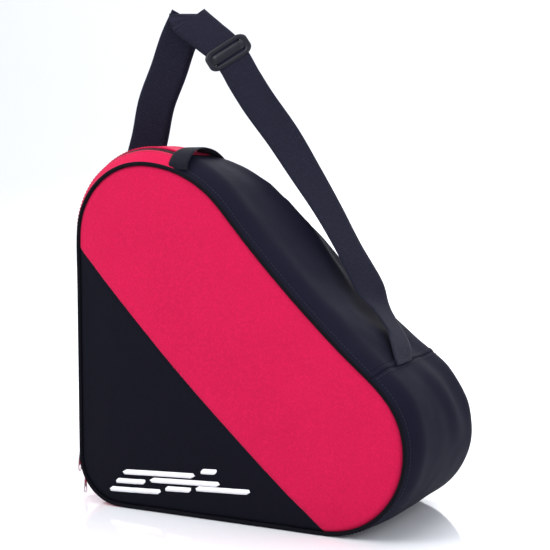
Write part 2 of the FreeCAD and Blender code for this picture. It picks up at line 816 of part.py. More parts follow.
def fold(radius, wide):
    """The stations that take the strap over its highest point, round an unseen support."""
    skewed = wide / math.cos(math.radians(FOLD_SKEW))
    stations = []
    for degrees in (0, 45, 90, 135, 180):
        turn = math.radians(degrees)
        out = FOLD_FRONT * math.cos(turn) + UP * math.sin(turn)
        centre = PEAK - UP * FOLD_DROP
        stations.append((centre + out * radius, FOLD_ACROSS, out, skewed))
    return stations


def make_strap():
    """The shoulder strap, held up as a peaked loop: webbing, return layer and rear ring."""
    wide = size("strap_width")
    thick = size("webbing")
    along_y = V(0, 1, 0)
    slope = V(1, 0, 1)
    sewn = [(FOOT, along_y, V(0.5, 0, 1)), (MIDDLE, along_y, slope), (LIFT_OFF, along_y, slope)]
    feature("strap_sewn_end", ribbon([(*station, wide) for station in sewn], thick))

    ring_end = RING_HEIGHT + 1.5 * size("ring_wire") + GAP
    ring_top = BAR - FreeCAD.Vector(REAR_RUN).normalize() * ring_end

    def front_station(share, offset):
        return (LIFT_OFF + RUN * share + RUN_FACE * offset, RUN_ACROSS, RUN_FACE, wide)

    def rear_station(share, offset):
        start = PEAK - UP * 20 - FOLD_FRONT * FOLD_RADIUS
        point = start + (ring_top - start) * share
        return (point + REAR_FACE * offset, REAR_ACROSS, REAR_FACE, wide)

    low = [
        (LIFT_OFF + slope * 3.0, along_y, slope, 6.0),
        (LIFT_OFF + RUN * 0.09 + slope * 2.0, V(0.1, 1, 0.1), V(1, -0.2, 0.8), 24.0),
        (LIFT_OFF + RUN * 0.20, V(0.45, 0.8, 0.35), V(0.8, -0.55, 0.3), wide),
    ]
    stations = low + [front_station(share, 0) for share in (0.42, 0.94)]
    stations += fold(FOLD_RADIUS, wide)
    stations += [rear_station(share, 0) for share in (0.0, 0.5, 1.0)]
    feature("strap_webbing", ribbon(stations, thick))

    above = 1 - size("adjuster_share") + (size("adjuster_height") / 2 + 3) / RUN_LENGTH
    stations = [front_station(share, -LAYER) for share in (above, 0.94)]
    stations += fold(FOLD_RADIUS - LAYER, wide)
    stations += [rear_station(share, -LAYER) for share in (0.0, 0.5, 1.0)]
    feature("strap_return_webbing", ribbon(stations, thick))


def framed(across, along, point):
    """A placement whose x runs across a strap, y along it and z out of its face."""
    x = FreeCAD.Vector(across).normalize()
    y = FreeCAD.Vector(along)
    y = (y - x * y.dot(x)).normalize()
    z = x.cross(y)
    turn = FreeCAD.Rotation(x, y, z, "XYZ")
    return FreeCAD.Placement(point, turn)


def make_ring_and_tab():
    """The ring at the strap's rear end, and the webbing tab that holds it to the rear seam."""
    body = doc.addObject("PartDesign::Body", "strap_ring")
    wide = "(Sizes.strap_width + 3) / 2"
    wire = "Sizes.ring_wire"
    outer = rectangle(body, "ring_outer", "XY_Plane", f"-{wide} - {wire}", f"{wide} + {wire}",
                      f"-{wire} / 2", f"1.5 * {wire} + 7")
    pad(body, "ring_pad", outer, wire, mid=True)
    inner = rectangle(body, "ring_inner", "XY_Plane", f"-{wide}", wide, f"{wire} / 2",
                      f"{wire} / 2 + 7")
    pocket(body, "ring_hole", inner)
    body.Placement = framed(REAR_ACROSS, PEAK - BAR, BAR)
    keep(body, "strap_ring")
    seam_x, seam_z = profile(0, 0, 0)[HEEL](0.45)
    seam = V(seam_x, rear_y(seam_z), seam_z)
    out = (BAR - seam).normalize()
    face = FreeCAD.Vector(REAR_ACROSS).cross(out).normalize()
    root = seam + out * 1.0
    end = BAR - out * (size("ring_wire") / 2 + 3.8)
    stations = [(root, REAR_ACROSS, face, 25.0), (end, REAR_ACROSS, face, 20.0)]
    feature("strap_anchor_tab", ribbon(stations, 2 * size("webbing")))


def make_adjuster():
    """The three-bar adjuster: outer bars before the webbing, middle bar behind it, side rails."""
    bar, tall, wide = "Sizes.adjuster_bar", "Sizes.adjuster_height", "Sizes.adjuster_width"
    clear = "(Sizes.webbing / 2 + Sizes.gap)"
    rail = f"({wide} - Sizes.strap_width - 2) / 2"
    pieces = []
    for side, start in (("left", f"-{wide} / 2"), ("right", f"{wide} / 2 - {rail}")):
        pieces.append(block(f"adjuster_{side}_rail", (start, f"-{tall} / 2", f"-{clear} - 2.4"),
                            (rail, tall, f"2 * {clear} + 4.8")))
    for place, start in (("lower", f"-{tall} / 2"), ("upper", f"{tall} / 2 - {bar}")):
        pieces.append(block(f"adjuster_{place}_bar", (f"-{wide} / 2", start, clear),
                            (wide, bar, "2.4")))
    pieces.append(block("adjuster_middle_bar", (f"-{wide} / 2", f"-{bar} / 2", f"-{clear} - 2.4"),
                        (wide, bar, "2.4")))
    whole = doc.addObject("Part::MultiFuse", "strap_adjuster")
    whole.Shapes = pieces
    centre = PEAK - RUN * size("adjuster_share")
    whole.Placement = framed(RUN_ACROSS, RUN, centre)
    keep(whole, "strap_adjuster")
    wrap = block("return_wrap", ("-Sizes.strap_width / 2", "-4", f"-{clear} - 2.7 - Sizes.webbing"),
                 ("Sizes.strap_width", "14", "Sizes.webbing"))
    holder = doc.addObject("Part::MultiFuse", "return_end")
    holder.Shapes = [wrap, block("return_stitch", ("-Sizes.strap_width / 2", "-4", f"-{clear} - 2.7"),
                                 ("Sizes.strap_width", "1.6", "0.2"))]
    holder.Placement = framed(RUN_ACROSS, RUN, centre)
    keep(holder, "strap_return_end")


def make_stops():
    """The two ends of the zip chain: a metal stop at the corner and one under the handle."""
    under = CLOTH + GAP / 2 + size("tape")
    ring = skin(under, size("coil") + 0.4)
    centre = size("zip_setback")
    strip = ring.common(slab(centre - COIL_HALF, centre + COIL_HALF))
    low = [(LEFT - 60, STOP_Z - 4), (LEFT + 60, STOP_Z - 4), (LEFT + 60, STOP_Z - GAP),
           (LEFT - 60, STOP_Z - GAP)]
    feature("zip_bottom_stop", strip.common(polygon_prism(low)))
    top = [CORE, beyond(CROWN, HANDLE_T + 0.005), beyond(CROWN, HANDLE_T + 0.035)]
    feature("zip_top_stop", strip.common(polygon_prism(top)))


def check():
    """Stops the build if any object failed, or any sub-part's shape is empty or invalid."""
    for item in doc.Objects:
        if "Invalid" in item.State or "Error" in item.State:
            raise RuntimeError(f"{item.Name} failed: {item.State}")
    for item in PARTS:
        shape = item.Shape
        if shape.isNull() or not shape.isValid() or not shape.Solids or shape.Volume < 1.0:
            raise RuntimeError(f"{item.Label} has no valid solid")


def write():
    os.makedirs("parts", exist_ok=True)
    for item in PARTS:
        item.Shape.exportStep(f"parts/{item.Label}.step")
        print(item.Label, len(item.Shape.Solids), round(item.Shape.Volume))


make_front()
make_rear()
make_side_wall()
make_zip()
make_stops()
make_bindings()
make_base_board()
make_sliders()
make_handle()
make_strap()
make_ring_and_tab()
make_adjuster()
doc.recompute()
check()
write()
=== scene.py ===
import math

import bmesh
import bpy
from mathutils import Matrix, Vector, noise


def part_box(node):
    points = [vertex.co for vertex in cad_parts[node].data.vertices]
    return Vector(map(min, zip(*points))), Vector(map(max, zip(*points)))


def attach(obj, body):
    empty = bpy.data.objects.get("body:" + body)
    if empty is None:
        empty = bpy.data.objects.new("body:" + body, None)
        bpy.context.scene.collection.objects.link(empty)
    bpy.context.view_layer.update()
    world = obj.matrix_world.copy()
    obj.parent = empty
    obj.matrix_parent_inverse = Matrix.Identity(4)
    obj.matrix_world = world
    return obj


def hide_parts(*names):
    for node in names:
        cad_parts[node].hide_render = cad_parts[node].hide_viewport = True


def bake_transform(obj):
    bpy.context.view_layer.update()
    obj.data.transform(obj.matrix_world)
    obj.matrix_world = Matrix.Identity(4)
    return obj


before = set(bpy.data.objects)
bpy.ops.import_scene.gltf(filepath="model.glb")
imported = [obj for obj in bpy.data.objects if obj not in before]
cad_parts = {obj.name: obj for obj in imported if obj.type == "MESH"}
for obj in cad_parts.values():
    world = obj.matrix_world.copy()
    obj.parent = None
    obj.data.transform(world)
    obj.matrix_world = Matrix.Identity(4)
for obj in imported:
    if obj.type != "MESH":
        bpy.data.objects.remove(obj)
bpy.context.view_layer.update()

# All lengths below are millimetres, and become metres when a mesh is made.
MM = 0.001


def node_box(node):
    """A CAD node's lowest and highest corner, in millimetres."""
    low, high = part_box(node)
    return low / MM, high / MM


def node_middle(node):
    low, high = node_box(node)
    return (low + high) / 2


# ---------------------------------------------------------------- the bag's own measures

PIPING_LOW, PIPING_HIGH = node_box("front_piping")
REAR_LOW, REAR_HIGH = node_box("rear_piping")
PIPING_R = (PIPING_HIGH.y - PIPING_LOW.y) / 2
FRONT_Y = PIPING_LOW.y + PIPING_R
LEFT = PIPING_LOW.x
WIDTH = PIPING_HIGH.x - PIPING_LOW.x
HEIGHT = PIPING_HIGH.z
REAR_BASE = REAR_HIGH.y - PIPING_R
REAR_TOP = REAR_LOW.y + PIPING_R
CORNER_R, HEEL_R, CROWN_R, NOSE_R, HOLLOW_R = 56.0, 87.0, 140.0, 96.0, 1500.0
HEEL_BULGE, NOSE_BULGE, BULGE_REACH, EDGE_TUCK = 14.0, 10.0, 30.0, 1.2
ZIP_FRONT, ZIP_MIDDLE, ZIP_REAR = 16.0, 20.0, 24.0
FOLD = 56.0
DEEP = 100.0
HANDLE = node_middle("carry_handle")
FLAP_LOW, FLAP_HIGH = (corner.z for corner in node_box("front_zip_flap"))
SEAM_SHARE = 0.955
CLOTH = 1.3
STEP = 4.5

# a point well inside the bag
CORE = Vector((-30.0, 0.0, 190.0))

SIDE, HEEL, CROWN, DIAGONAL, NOSE, BASE, CORNER = range(7)


def rear_y(z):
    return REAR_BASE - (REAR_BASE - REAR_TOP) * (z / HEIGHT) ** 2


def on_circle(centre, radius, degrees):
    angle = math.radians(degrees)
    return (centre[0] + radius * math.cos(angle), centre[1] + radius * math.sin(angle))


def profile(heel_grow, nose_grow, floor):
    """The seven stretches of the bag's outline in x and z, each a function of 0 to 1."""
    left = LEFT - heel_grow
    corner_r = CORNER_R - floor
    heel_r = HEEL_R + heel_grow
    crown_r = CROWN_R + heel_grow
    nose_r = NOSE_R + (nose_grow - floor) / 2
    corner = (left + corner_r, floor + corner_r)
    heel = (left + heel_r, HEIGHT + heel_grow - heel_r)
    crown = (left + heel_r, HEIGHT + heel_grow - crown_r)
    nose = (LEFT + WIDTH + nose_grow - nose_r, floor + nose_r)
    span = math.dist(crown, nose)
    to_crown = HOLLOW_R + crown_r
    to_nose = HOLLOW_R + nose_r
    along = (to_crown ** 2 - to_nose ** 2 + span ** 2) / (2 * span)
    aside = math.sqrt(to_crown ** 2 - along ** 2)
    ux, uz = (nose[0] - crown[0]) / span, (nose[1] - crown[1]) / span
    hollow = (crown[0] + along * ux - aside * uz, crown[1] + along * uz + aside * ux)
    crown_end = math.degrees(math.atan2(hollow[1] - crown[1], hollow[0] - crown[0]))
    nose_start = math.degrees(math.atan2(hollow[1] - nose[1], hollow[0] - nose[0]))

    def line(start, end):
        return lambda t: (start[0] + (end[0] - start[0]) * t, start[1] + (end[1] - start[1]) * t)

    def arc(centre, radius, first, last):
        return lambda t: on_circle(centre, radius, first + (last - first) * t)

    return [
        line((left, corner[1]), (left, heel[1])),
        arc(heel, heel_r, 180, 90),
        arc(crown, crown_r, 90, crown_end),
        arc(hollow, HOLLOW_R, crown_end - 180, nose_start - 180),
        arc(nose, nose_r, nose_start, -90),
        line((nose[0], floor), (corner[0], floor)),
        arc(corner, corner_r, 270, 180),
    ]


EDGE = profile(0.0, 0.0, 0.0)
OUT = profile(HEEL_BULGE, NOSE_BULGE, 0.0)


def share_at(stretch, axis, value):
    """Where along a stretch of the bulged outline x (0) or z (1) reaches a value, by halving."""
    rises = OUT[stretch](1.0)[axis] > OUT[stretch](0.0)[axis]
    low, high = 0.0, 1.0
    for _ in range(30):
        middle = (low + high) / 2
        if (OUT[stretch](middle)[axis] < value) == rises:
            low = middle
        else:
            high = middle
    return (low + high) / 2


def swell(bulge, share):
    return (bulge + EDGE_TUCK) * share - EDGE_TUCK


def smooth(value):
    value = min(max(value, 0.0), 1.0)
    return value * value * (3 - 2 * value)


def bell(distance, width):
    return math.exp(-(distance / width) ** 2)


def drape(point, edge):
    """How far the side wall's cloth stands out of its plain shape at a point, away from its seams."""
    wave = 1.5 * noise.noise(point / 62.0) + 0.7 * noise.noise(point / 23.0)
    hump = 12.0 * bell(point.x - 52.0, 48.0) * bell(point.y - 10.0, 42.0) * smooth((point.z - 150) / 90)
    ridge_y = -14.0 + 0.10 * (point.x + 40.0)
    crease = 6.5 * math.exp(-abs(point.y - ridge_y) / 7.0) - 3.5 * bell(point.y - ridge_y - 17.0, 9.0)
    crease *= bell(point.x - 35.0, 80.0)
    crease *= smooth((point.z - 240) / 50)
    lift = 4.0 * bell(point.x - 168.0, 20.0) * bell(point.y + 20.0, 40.0) * smooth((point.z - 170) / 25)
    folds = 1.6 * smooth((point.x - 120) / 60) * math.sin(point.y / 9.0 + point.z / 21.0)
    folds *= bell(point.z - 150, 60) * bell(point.y - 25.0, 45.0)
    top_red = 2.5 * bell(point.x + 110, 60) * smooth((point.z - 350) / 40)
    return smooth(edge / 16.0) * (wave + hump + crease + lift + folds + top_red)


def wall_point(stretch, t, row, lift=0.0):
    """A point of the side wall: rows up to FOLD are millimetres behind the front seam, the rest a share."""
    depth = rear_y(EDGE[stretch](t)[1]) - FRONT_Y
    setback = row
    if row > FOLD:
        setback = FOLD + (row - FOLD) / (DEEP - FOLD) * (depth - FOLD)
    near = min(setback, depth - setback)
    share = math.sin(min(max(near, 0.0) / BULGE_REACH, 1.0) * math.pi / 2)
    grown = profile(swell(HEEL_BULGE, share), swell(NOSE_BULGE, share), 0.0)[stretch]
    x, z = grown(t)
    x0, z0 = grown(max(t - 0.01, 0.0))
    x1, z1 = grown(min(t + 0.01, 1.0))
    run = math.hypot(x1 - x0, z1 - z0)
    normal = Vector((-(z1 - z0) / run, 0.0, (x1 - x0) / run))
    point = Vector((x, FRONT_Y + setback, z))
    point += normal * (lift + drape(point, near))
    point.z = max(point.z, 0.0)
    return point


# ---------------------------------------------------------------- materials

WEAVE_PITCH = 1.15 * MM


def socket(group, name, way, kind, default=None):
    made = group.interface.new_socket(name=name, in_out=way, socket_type="NodeSocket" + kind)
    if default is not None:
        made.default_value = default
    return made


class Tree:
    """A short way to add and join shader nodes."""

    def __init__(self, tree):
        self.tree = tree

    def node(self, kind, inputs=(), **settings):
        made = self.tree.nodes.new("ShaderNode" + kind)
        for name, value in settings.items():
            setattr(made, name, value)
        for name, value in dict(inputs).items():
            if isinstance(value, bpy.types.NodeSocket):
                self.tree.links.new(value, made.inputs[name])
            else:
                made.inputs[name].default_value = value
        return made

    def maths(self, operation, first, second=0.0):
        made = self.tree.nodes.new("ShaderNodeMath")
        made.operation = operation
        for index, value in enumerate((first, second)):
            if isinstance(value, bpy.types.NodeSocket):
                self.tree.links.new(value, made.inputs[index])
            else:
                made.inputs[index].default_value = value
        return made.outputs[0]

    def mix(self, share, first, second):
        made = self.tree.nodes.new("ShaderNodeMix")
        made.data_type = "RGBA"
        for index, value in ((0, share), (6, first), (7, second)):
            if isinstance(value, bpy.types.NodeSocket):
                self.tree.links.new(value, made.inputs[index])
            else:
                made.inputs[index].default_value = value
        return made.outputs[2]


def weave_group():
    """Plain woven cloth: the height of crossing threads, and the painted shade between them."""
    group = bpy.data.node_groups.new("plain_weave", "ShaderNodeTree")
    socket(group, "Place", "INPUT", "Vector")
    socket(group, "Pitch", "INPUT", "Float", WEAVE_PITCH)
    socket(group, "Height", "OUTPUT", "Float")
    socket(group, "Shade", "OUTPUT", "Float")
    tree = Tree(group)
    entry = group.nodes.new("NodeGroupInput")
    leave = group.nodes.new("NodeGroupOutput")
    turns = tree.maths("DIVIDE", math.pi, entry.outputs["Pitch"])
    split = tree.node("SeparateXYZ", {"Vector": entry.outputs["Place"]})
    wave_x = tree.maths("SINE", tree.maths("MULTIPLY", split.outputs["X"], turns))
    wave_y = tree.maths("SINE", tree.maths("MULTIPLY", split.outputs["Y"], turns))
    over = tree.maths("GREATER_THAN", tree.maths("MULTIPLY", wave_x, wave_y), 0.0)
    warp = tree.maths("ABSOLUTE", wave_x)
    weft = tree.maths("ABSOLUTE", wave_y)
    first = tree.maths("MULTIPLY", warp, over)
    second = tree.maths("MULTIPLY", weft, tree.maths("SUBTRACT", 1.0, over))
    height = tree.maths("ADD", first, second)
    group.links.new(height, leave.inputs["Height"])
    group.links.new(tree.maths("POWER", height, 0.5), leave.inputs["Shade"])
    return group


def dust_group():
    """Uneven colour: broad patches with a fine fleck over them, from 0 to 1."""
    group = bpy.data.node_groups.new("uneven_dye", "ShaderNodeTree")
    socket(group, "Place", "INPUT", "Vector")
    socket(group, "Patch", "OUTPUT", "Float")
    socket(group, "Fleck", "OUTPUT", "Float")
    tree = Tree(group)
    entry = group.nodes.new("NodeGroupInput")
    leave = group.nodes.new("NodeGroupOutput")
    broad = tree.node("TexNoise", {"Vector": entry.outputs["Place"], "Scale": 14.0, "Detail": 3.0})
    fine = tree.node("TexNoise", {"Vector": entry.outputs["Place"], "Scale": 480.0, "Detail": 3.0})
    group.links.new(broad.outputs["Fac"], leave.inputs["Patch"])
    group.links.new(fine.outputs["Fac"], leave.inputs["Fleck"])
    return group


WEAVE = weave_group()
DYE = dust_group()


def shaded(colour, factor):
    return (colour[0] * factor, colour[1] * factor, colour[2] * factor, 1.0)


def finished(name, slot, roughness, sheen=0.0, metallic=0.0, coat=0.0, shine=0.5):
    """A new material with its shader, ready for its own pattern."""
    made = bpy.data.materials.new(name)
    made.use_nodes = True
    shader = made.node_tree.nodes["Principled BSDF"]
    shader.inputs["Roughness"].default_value = roughness
    shader.inputs["Metallic"].default_value = metallic
    shader.inputs["Sheen Weight"].default_value = sheen
    shader.inputs["Sheen Roughness"].default_value = 0.45
    shader.inputs["Coat Weight"].default_value = coat
    shader.inputs["Specular IOR Level"].default_value = shine
    made["slot"] = slot
    return made, shader, Tree(made.node_tree)


def cloth(name, slot, colour, pitch=WEAVE_PITCH, relief=0.35, sheen=0.18, roughness=0.78, use_uv=True,
          ribs=0.0):
    """Woven polyester in one colour, with painted shade between its threads, and painted shade between its
    ribs when a rib pitch is given.
    """
    made, shader, tree = finished(name, slot, roughness, sheen, shine=0.08)
    place = tree.node("TexCoord")
    pattern = place.outputs["UV" if use_uv else "Object"]
    weave = tree.node("Group", {}, node_tree=WEAVE)
    tree.tree.links.new(pattern, weave.inputs["Place"])
    weave.inputs["Pitch"].default_value = pitch
    dye = tree.node("Group", {}, node_tree=DYE)
    tree.tree.links.new(place.outputs["Object"], dye.inputs["Place"])
    # Painted shade of the weave: the colour falls to 0.52 of itself in the hollows between the threads.
    dark = shaded(colour, 0.52)
    light = shaded(colour, 1.0)
    bright = shaded(colour, 1.32)
    base = tree.mix(weave.outputs["Shade"], dark, light)
    worn = tree.maths("MULTIPLY", dye.outputs["Patch"], 0.45)
    base = tree.mix(worn, base, bright)
    # Painted shade between the webbing's ribs: dark stripes at the rib pitch, down to 0.15 of the colour.
    if ribs:
        split = tree.node("SeparateXYZ", {"Vector": pattern})
        wave = tree.maths("SINE", tree.maths("MULTIPLY", split.outputs["Y"], 2 * math.pi / ribs))
        painted_rib_shade = tree.maths("MULTIPLY", tree.maths("SUBTRACT", 1.0, wave), 0.42)
        base = tree.mix(painted_rib_shade, base, shaded(colour, 0.15))
    flecked = tree.maths("MULTIPLY", tree.maths("POWER", dye.outputs["Fleck"], 3.0), 2.0)
    base = tree.mix(flecked, base, bright)
    tree.tree.links.new(base, shader.inputs["Base Color"])
    bump = tree.node("Bump", {"Height": weave.outputs["Height"], "Strength": relief, "Distance": 0.0003})
    tree.tree.links.new(bump.outputs["Normal"], shader.inputs["Normal"])
    return made


def plain(name, slot, colour, roughness, scale, relief, metallic=0.0, coat=0.0):
    """Moulded, cast or foamed stuff: one colour with a fine grain."""
    made, shader, tree = finished(name, slot, roughness, 0.0, metallic, coat, 0.25)
    place = tree.node("TexCoord")
    grain = tree.node("TexNoise", {"Vector": place.outputs["Object"], "Scale": scale, "Detail": 4.0})
    base = tree.mix(grain.outputs["Fac"], shaded(colour, 0.8), shaded(colour, 1.2))
    tree.tree.links.new(base, shader.inputs["Base Color"])
    rough = tree.maths("ADD", tree.maths("MULTIPLY", grain.outputs["Fac"], 0.16), roughness - 0.08)
    tree.tree.links.new(rough, shader.inputs["Roughness"])
    bump = tree.node("Bump", {"Height": grain.outputs["Fac"], "Strength": relief, "Distance": 0.0002})
    tree.tree.links.new(bump.outputs["Normal"], shader.inputs["Normal"])
    return made


RED = cloth("red_polyester", "red_fabric", (0.45, 0.006, 0.050), sheen=0.03)
BLACK = cloth("black_polyester", "black_fabric", (0.0028, 0.0028, 0.0068), sheen=0.0)
NAVY = cloth("gusset_polyester", "gusset_fabric", (0.0042, 0.0042, 0.0125), sheen=0.01)
# The strap and handle webbing get painted shade between their ribs.
STRAP = cloth("strap_weave", "strap_webbing", (0.013, 0.013, 0.026), 1.3 * MM, 0.5, 0.03, ribs=2.34 * MM)
GRIP = cloth("handle_weave", "handle_webbing", (0.009, 0.009, 0.016), 1.2 * MM, 0.5, 0.03, ribs=2.4 * MM)
TAPE = cloth("zip_tape_weave", "zip_tape", (0.22, 0.003, 0.015), 0.8 * MM, 0.3, 0.02)
PIPING = cloth("piping_bias", "piping", (0.0022, 0.0022, 0.0045), 1.0 * MM, 0.4, 0.0, use_uv=False)
BINDING = cloth("binding_tape", "binding", (0.008, 0.008, 0.010), 1.0 * MM, 0.4, 0.02, use_uv=False)
COIL = plain("zip_coil_nylon", "zip_tape", (0.035, 0.004, 0.010), 0.42, 700.0, 0.1)
METAL = plain("nickel_plate", "zip_metal", (0.62, 0.60, 0.62), 0.24, 260.0, 0.12, metallic=1.0)
PLASTIC = plain("black_acetal", "buckle_plastic", (0.004, 0.004, 0.009), 0.36, 900.0, 0.35)
FOAM = plain("grey_foam", "foam", (0.22, 0.22, 0.24), 0.9, 1500.0, 0.8)
BOARD = plain("base_sheet", "board", (0.045, 0.045, 0.05), 0.55, 900.0, 0.5)
THREAD_DARK = plain("black_thread", "black_fabric", (0.02, 0.02, 0.03), 0.6, 2500.0, 0.6)
THREAD_RED = plain("red_thread", "red_fabric", (0.45, 0.01, 0.045), 0.6, 2500.0, 0.6)
INK = plain("white_print", "black_fabric", (0.82, 0.82, 0.84), 0.5, 1400.0, 0.5)


# ---------------------------------------------------------------- making pieces


def mesh_object(name, verts, faces, uvs=None):
    """A new object from points in millimetres, with an optional UV in metres for each point."""
    mesh = bpy.data.meshes.new(name)
    mesh.from_pydata([tuple(Vector(v) * MM) for v in verts], [], faces)
    if uvs is not None:
        layer = mesh.uv_layers.new(name="UVMap")
        for corner in mesh.loops:
            layer.data[corner.index].uv = uvs[corner.vertex_index]
    mesh.update()
    made = bpy.data.objects.new(name, mesh)
    bpy.context.scene.collection.objects.link(made)
    mesh.polygons.foreach_set("use_smooth", [True] * len(mesh.polygons))
    return made


def apply_modifier(piece, kind, **settings):
    """Adds one modifier and applies it."""
    bpy.ops.object.select_all(action="DESELECT")
    bpy.context.view_layer.objects.active = piece
    piece.select_set(True)
    added = piece.modifiers.new(kind.lower(), kind)
    for name, value in settings.items():
        setattr(added, name, value)
    bpy.ops.object.modifier_apply(modifier=added.name)
    piece.select_set(False)


def face_from(piece, centre):
    """Turns an open sheet's faces away from a point inside the bag."""
    total = 0.0
    for face in piece.data.polygons:
        total += face.normal.dot(face.center - centre * MM) * face.area
    if total < 0:
        piece.data.flip_normals()


def closed(piece):
    """Turns a piece's faces outwards."""
    work = bmesh.new()
    work.from_mesh(piece.data)
    bmesh.ops.recalc_face_normals(work, faces=work.faces)
    work.to_mesh(piece.data)
    work.free()


def dress(piece, material, body, *nodes):
    """Gives a finished piece its material, body and CAD nodes."""
    piece.data.materials.clear()
    piece.data.materials.append(material)
    if body:
        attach(piece, body)
    if nodes:
        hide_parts(*nodes)
    return piece


def sheet_grid(name, rows, columns, place, uv, thickness=CLOTH):
    """A sheet of cloth over a grid of places, thickened inwards."""
    verts = [place(row, column) for row in rows for column in columns]
    uvs = [uv(row, column) for row in rows for column in columns]
    wide = len(columns)
    faces = []
    for i in range(len(rows) - 1):
        for j in range(wide - 1):
            a = i * wide + j
            faces.append((a, a + 1, a + wide + 1, a + wide))
    piece = mesh_object(name, verts, faces, uvs)
    face_from(piece, CORE)
    apply_modifier(piece, "SOLIDIFY", thickness=thickness * MM, offset=-1.0)
    return piece


def spread(first, last, step):
    """Evenly spaced values from first to last, about a step apart."""
    count = max(1, round(abs(last - first) / step))
    return [first + (last - first) * index / count for index in range(count + 1)]


def stretch_length(stretch):
    points = [Vector((*EDGE[stretch](k / 40), 0)) for k in range(41)]
    return sum((points[k + 1] - points[k]).length for k in range(40))


LENGTHS = [stretch_length(stretch) for stretch in range(7)]


def around(start, end):
    """Columns along the outline from one (stretch, share) to another, each (stretch, share, length)."""
    columns = []
    stretch, t = start
    gone = sum(LENGTHS[:stretch]) + LENGTHS[stretch] * t
    while True:
        last = stretch == end[0] and end[1] > t
        stop = end[1] if last else 1.0
        for share in spread(t, stop, STEP / LENGTHS[stretch])[1 if columns else 0:]:
            columns.append((stretch, share, gone + LENGTHS[stretch] * (share - t)))
        gone += LENGTHS[stretch] * (stop - t)
        if last:
            return columns
        stretch, t = (stretch + 1) % 7, 0.0


def wall_sheet(name, rows, start, end):
    """A strip of the side wall between two places along the outline."""

    def place(row, column):
        return wall_point(column[0], column[1], row)

    def uv(row, column):
        return (column[2] * MM, row * 2.0 * MM if row > FOLD else row * MM)

    return sheet_grid(name, rows, around(start, end), place, uv)


# ---------------------------------------------------------------- front and rear panels

SEAM_BEND = 6.0
SEAM_FOOT = -186.5 + 323.0
SEAM_HEAD = 305.0


def colour_line(x):
    """The height of the seam between the two colours, at a place across the front."""
    share = (x - LEFT) / (SEAM_FOOT - LEFT)
    return SEAM_HEAD * (1 - share) - SEAM_BEND * math.sin(math.pi * min(max(share, 0), 1)) * 1.6


def front_crown(x, z, inward):
    """How far the front panel's cloth stands out, for a place a distance inside its seam."""
    full = 4.2 * smooth(inward / 55.0) + 0.8 * smooth(inward / 12.0)
    point = Vector((x, 0, z))
    wave = 1.1 * noise.noise(point / 75.0) + 0.45 * noise.noise(point / 26.0)
    from_seam = abs((z - colour_line(x)) * 0.72)
    seam = -1.1 * bell(from_seam, 2.2) + 0.7 * bell(from_seam - 7.0, 6.0)
    crease = -1.5 * math.exp(-abs(x + 84.0 + (z - 330) * 0.12) / 5.0) * bell(z - 333.0, 26.0)
    dent = -2.4 * bell((x - 95) * 0.75 + (z - 190) * 0.6, 26.0) * bell((z - 190) * 0.7 - (x - 95) * 0.6, 38.0)
    fade = smooth(inward / 25.0)
    return full + fade * (wave + seam * 0.9 + crease + dent)


RINGS = 44


def panel_grid(name, place):
    """A panel over the whole outline, as rings from its seam to its middle."""
    columns = []
    for stretch in range(7):
        shares = spread(0.0, 1.0, STEP / LENGTHS[stretch])[:-1]
        columns += [(stretch, share) for share in shares]
    wide = len(columns)
    verts, uvs = [], []
    for ring in range(RINGS):
        share = 1 - (ring / RINGS) ** 0.9
        for stretch, t in columns:
            x, z = profile(-PIPING_R, -PIPING_R, PIPING_R)[stretch](t)
            px = CORE.x + (x - CORE.x) * share
            pz = CORE.z + (z - CORE.z) * share
            inward = math.hypot(x - px, z - pz)
            verts.append(place(px, pz, inward))
            uvs.append((px * MM, pz * MM))
    verts.append(place(CORE.x, CORE.z, 200.0))
    uvs.append((CORE.x * MM, CORE.z * MM))
    faces = []
    for ring in range(RINGS - 1):
        for j in range(wide):
            a, b = ring * wide + j, ring * wide + (j + 1) % wide
            faces.append((a, b, b + wide, a + wide))
    last = (RINGS - 1) * wide
    for j in range(wide):
        faces.append((last + j, last + (j + 1) % wide, len(verts) - 1))
    return mesh_object(name, verts, faces, uvs)


def cut_to_colour(piece, above):
    """Cuts a panel along the colour seam and keeps one side of it."""
    work = bmesh.new()
    work.from_mesh(piece.data)
    for vert in work.verts:
        vert.co.z -= colour_line(vert.co.x / MM) * MM
    geometry = work.verts[:] + work.edges[:] + work.faces[:]
    bmesh.ops.bisect_plane(work, geom=geometry, plane_co=(0, 0, 0), plane_no=(0, 0, 1),
                           clear_inner=above, clear_outer=not above)
    for vert in work.verts:
        vert.co.z += colour_line(vert.co.x / MM) * MM
    work.to_mesh(piece.data)
    work.free()


def make_front_panels():
    def place(x, z, inward):
        tuck = 1.6 * (1 - smooth(inward / 5.0))
        return Vector((x, FRONT_Y + tuck - front_crown(x, z, inward), z))

    for colour, above, material in (("red", True, RED), ("black", False, BLACK)):
        piece = panel_grid(f"front_panel_{colour}_cloth", place)
        cut_to_colour(piece, above)
        face_from(piece, CORE)
        apply_modifier(piece, "SOLIDIFY", thickness=CLOTH * MM, offset=-1.0)
        closed(piece)
        dress(piece, material, "bag", f"front_panel_{colour}")


def make_rear_panel():
    def place(x, z, inward):
        tuck = 1.6 * (1 - smooth(inward / 5.0))
        point = Vector((x, 0, z))
        wave = 1.3 * noise.noise(point / 70.0) + 0.5 * noise.noise(point / 24.0)
        crown = 4.5 * smooth(inward / 60.0) + smooth(inward / 25.0) * wave
        return Vector((x, rear_y(z) - tuck + crown, z))

    piece = panel_grid("rear_panel_cloth", place)
    face_from(piece, CORE)
    apply_modifier(piece, "SOLIDIFY", thickness=CLOTH * MM, offset=-1.0)
    closed(piece)
    dress(piece, BLACK, "bag", "rear_panel")


# ---------------------------------------------------------------- side wall

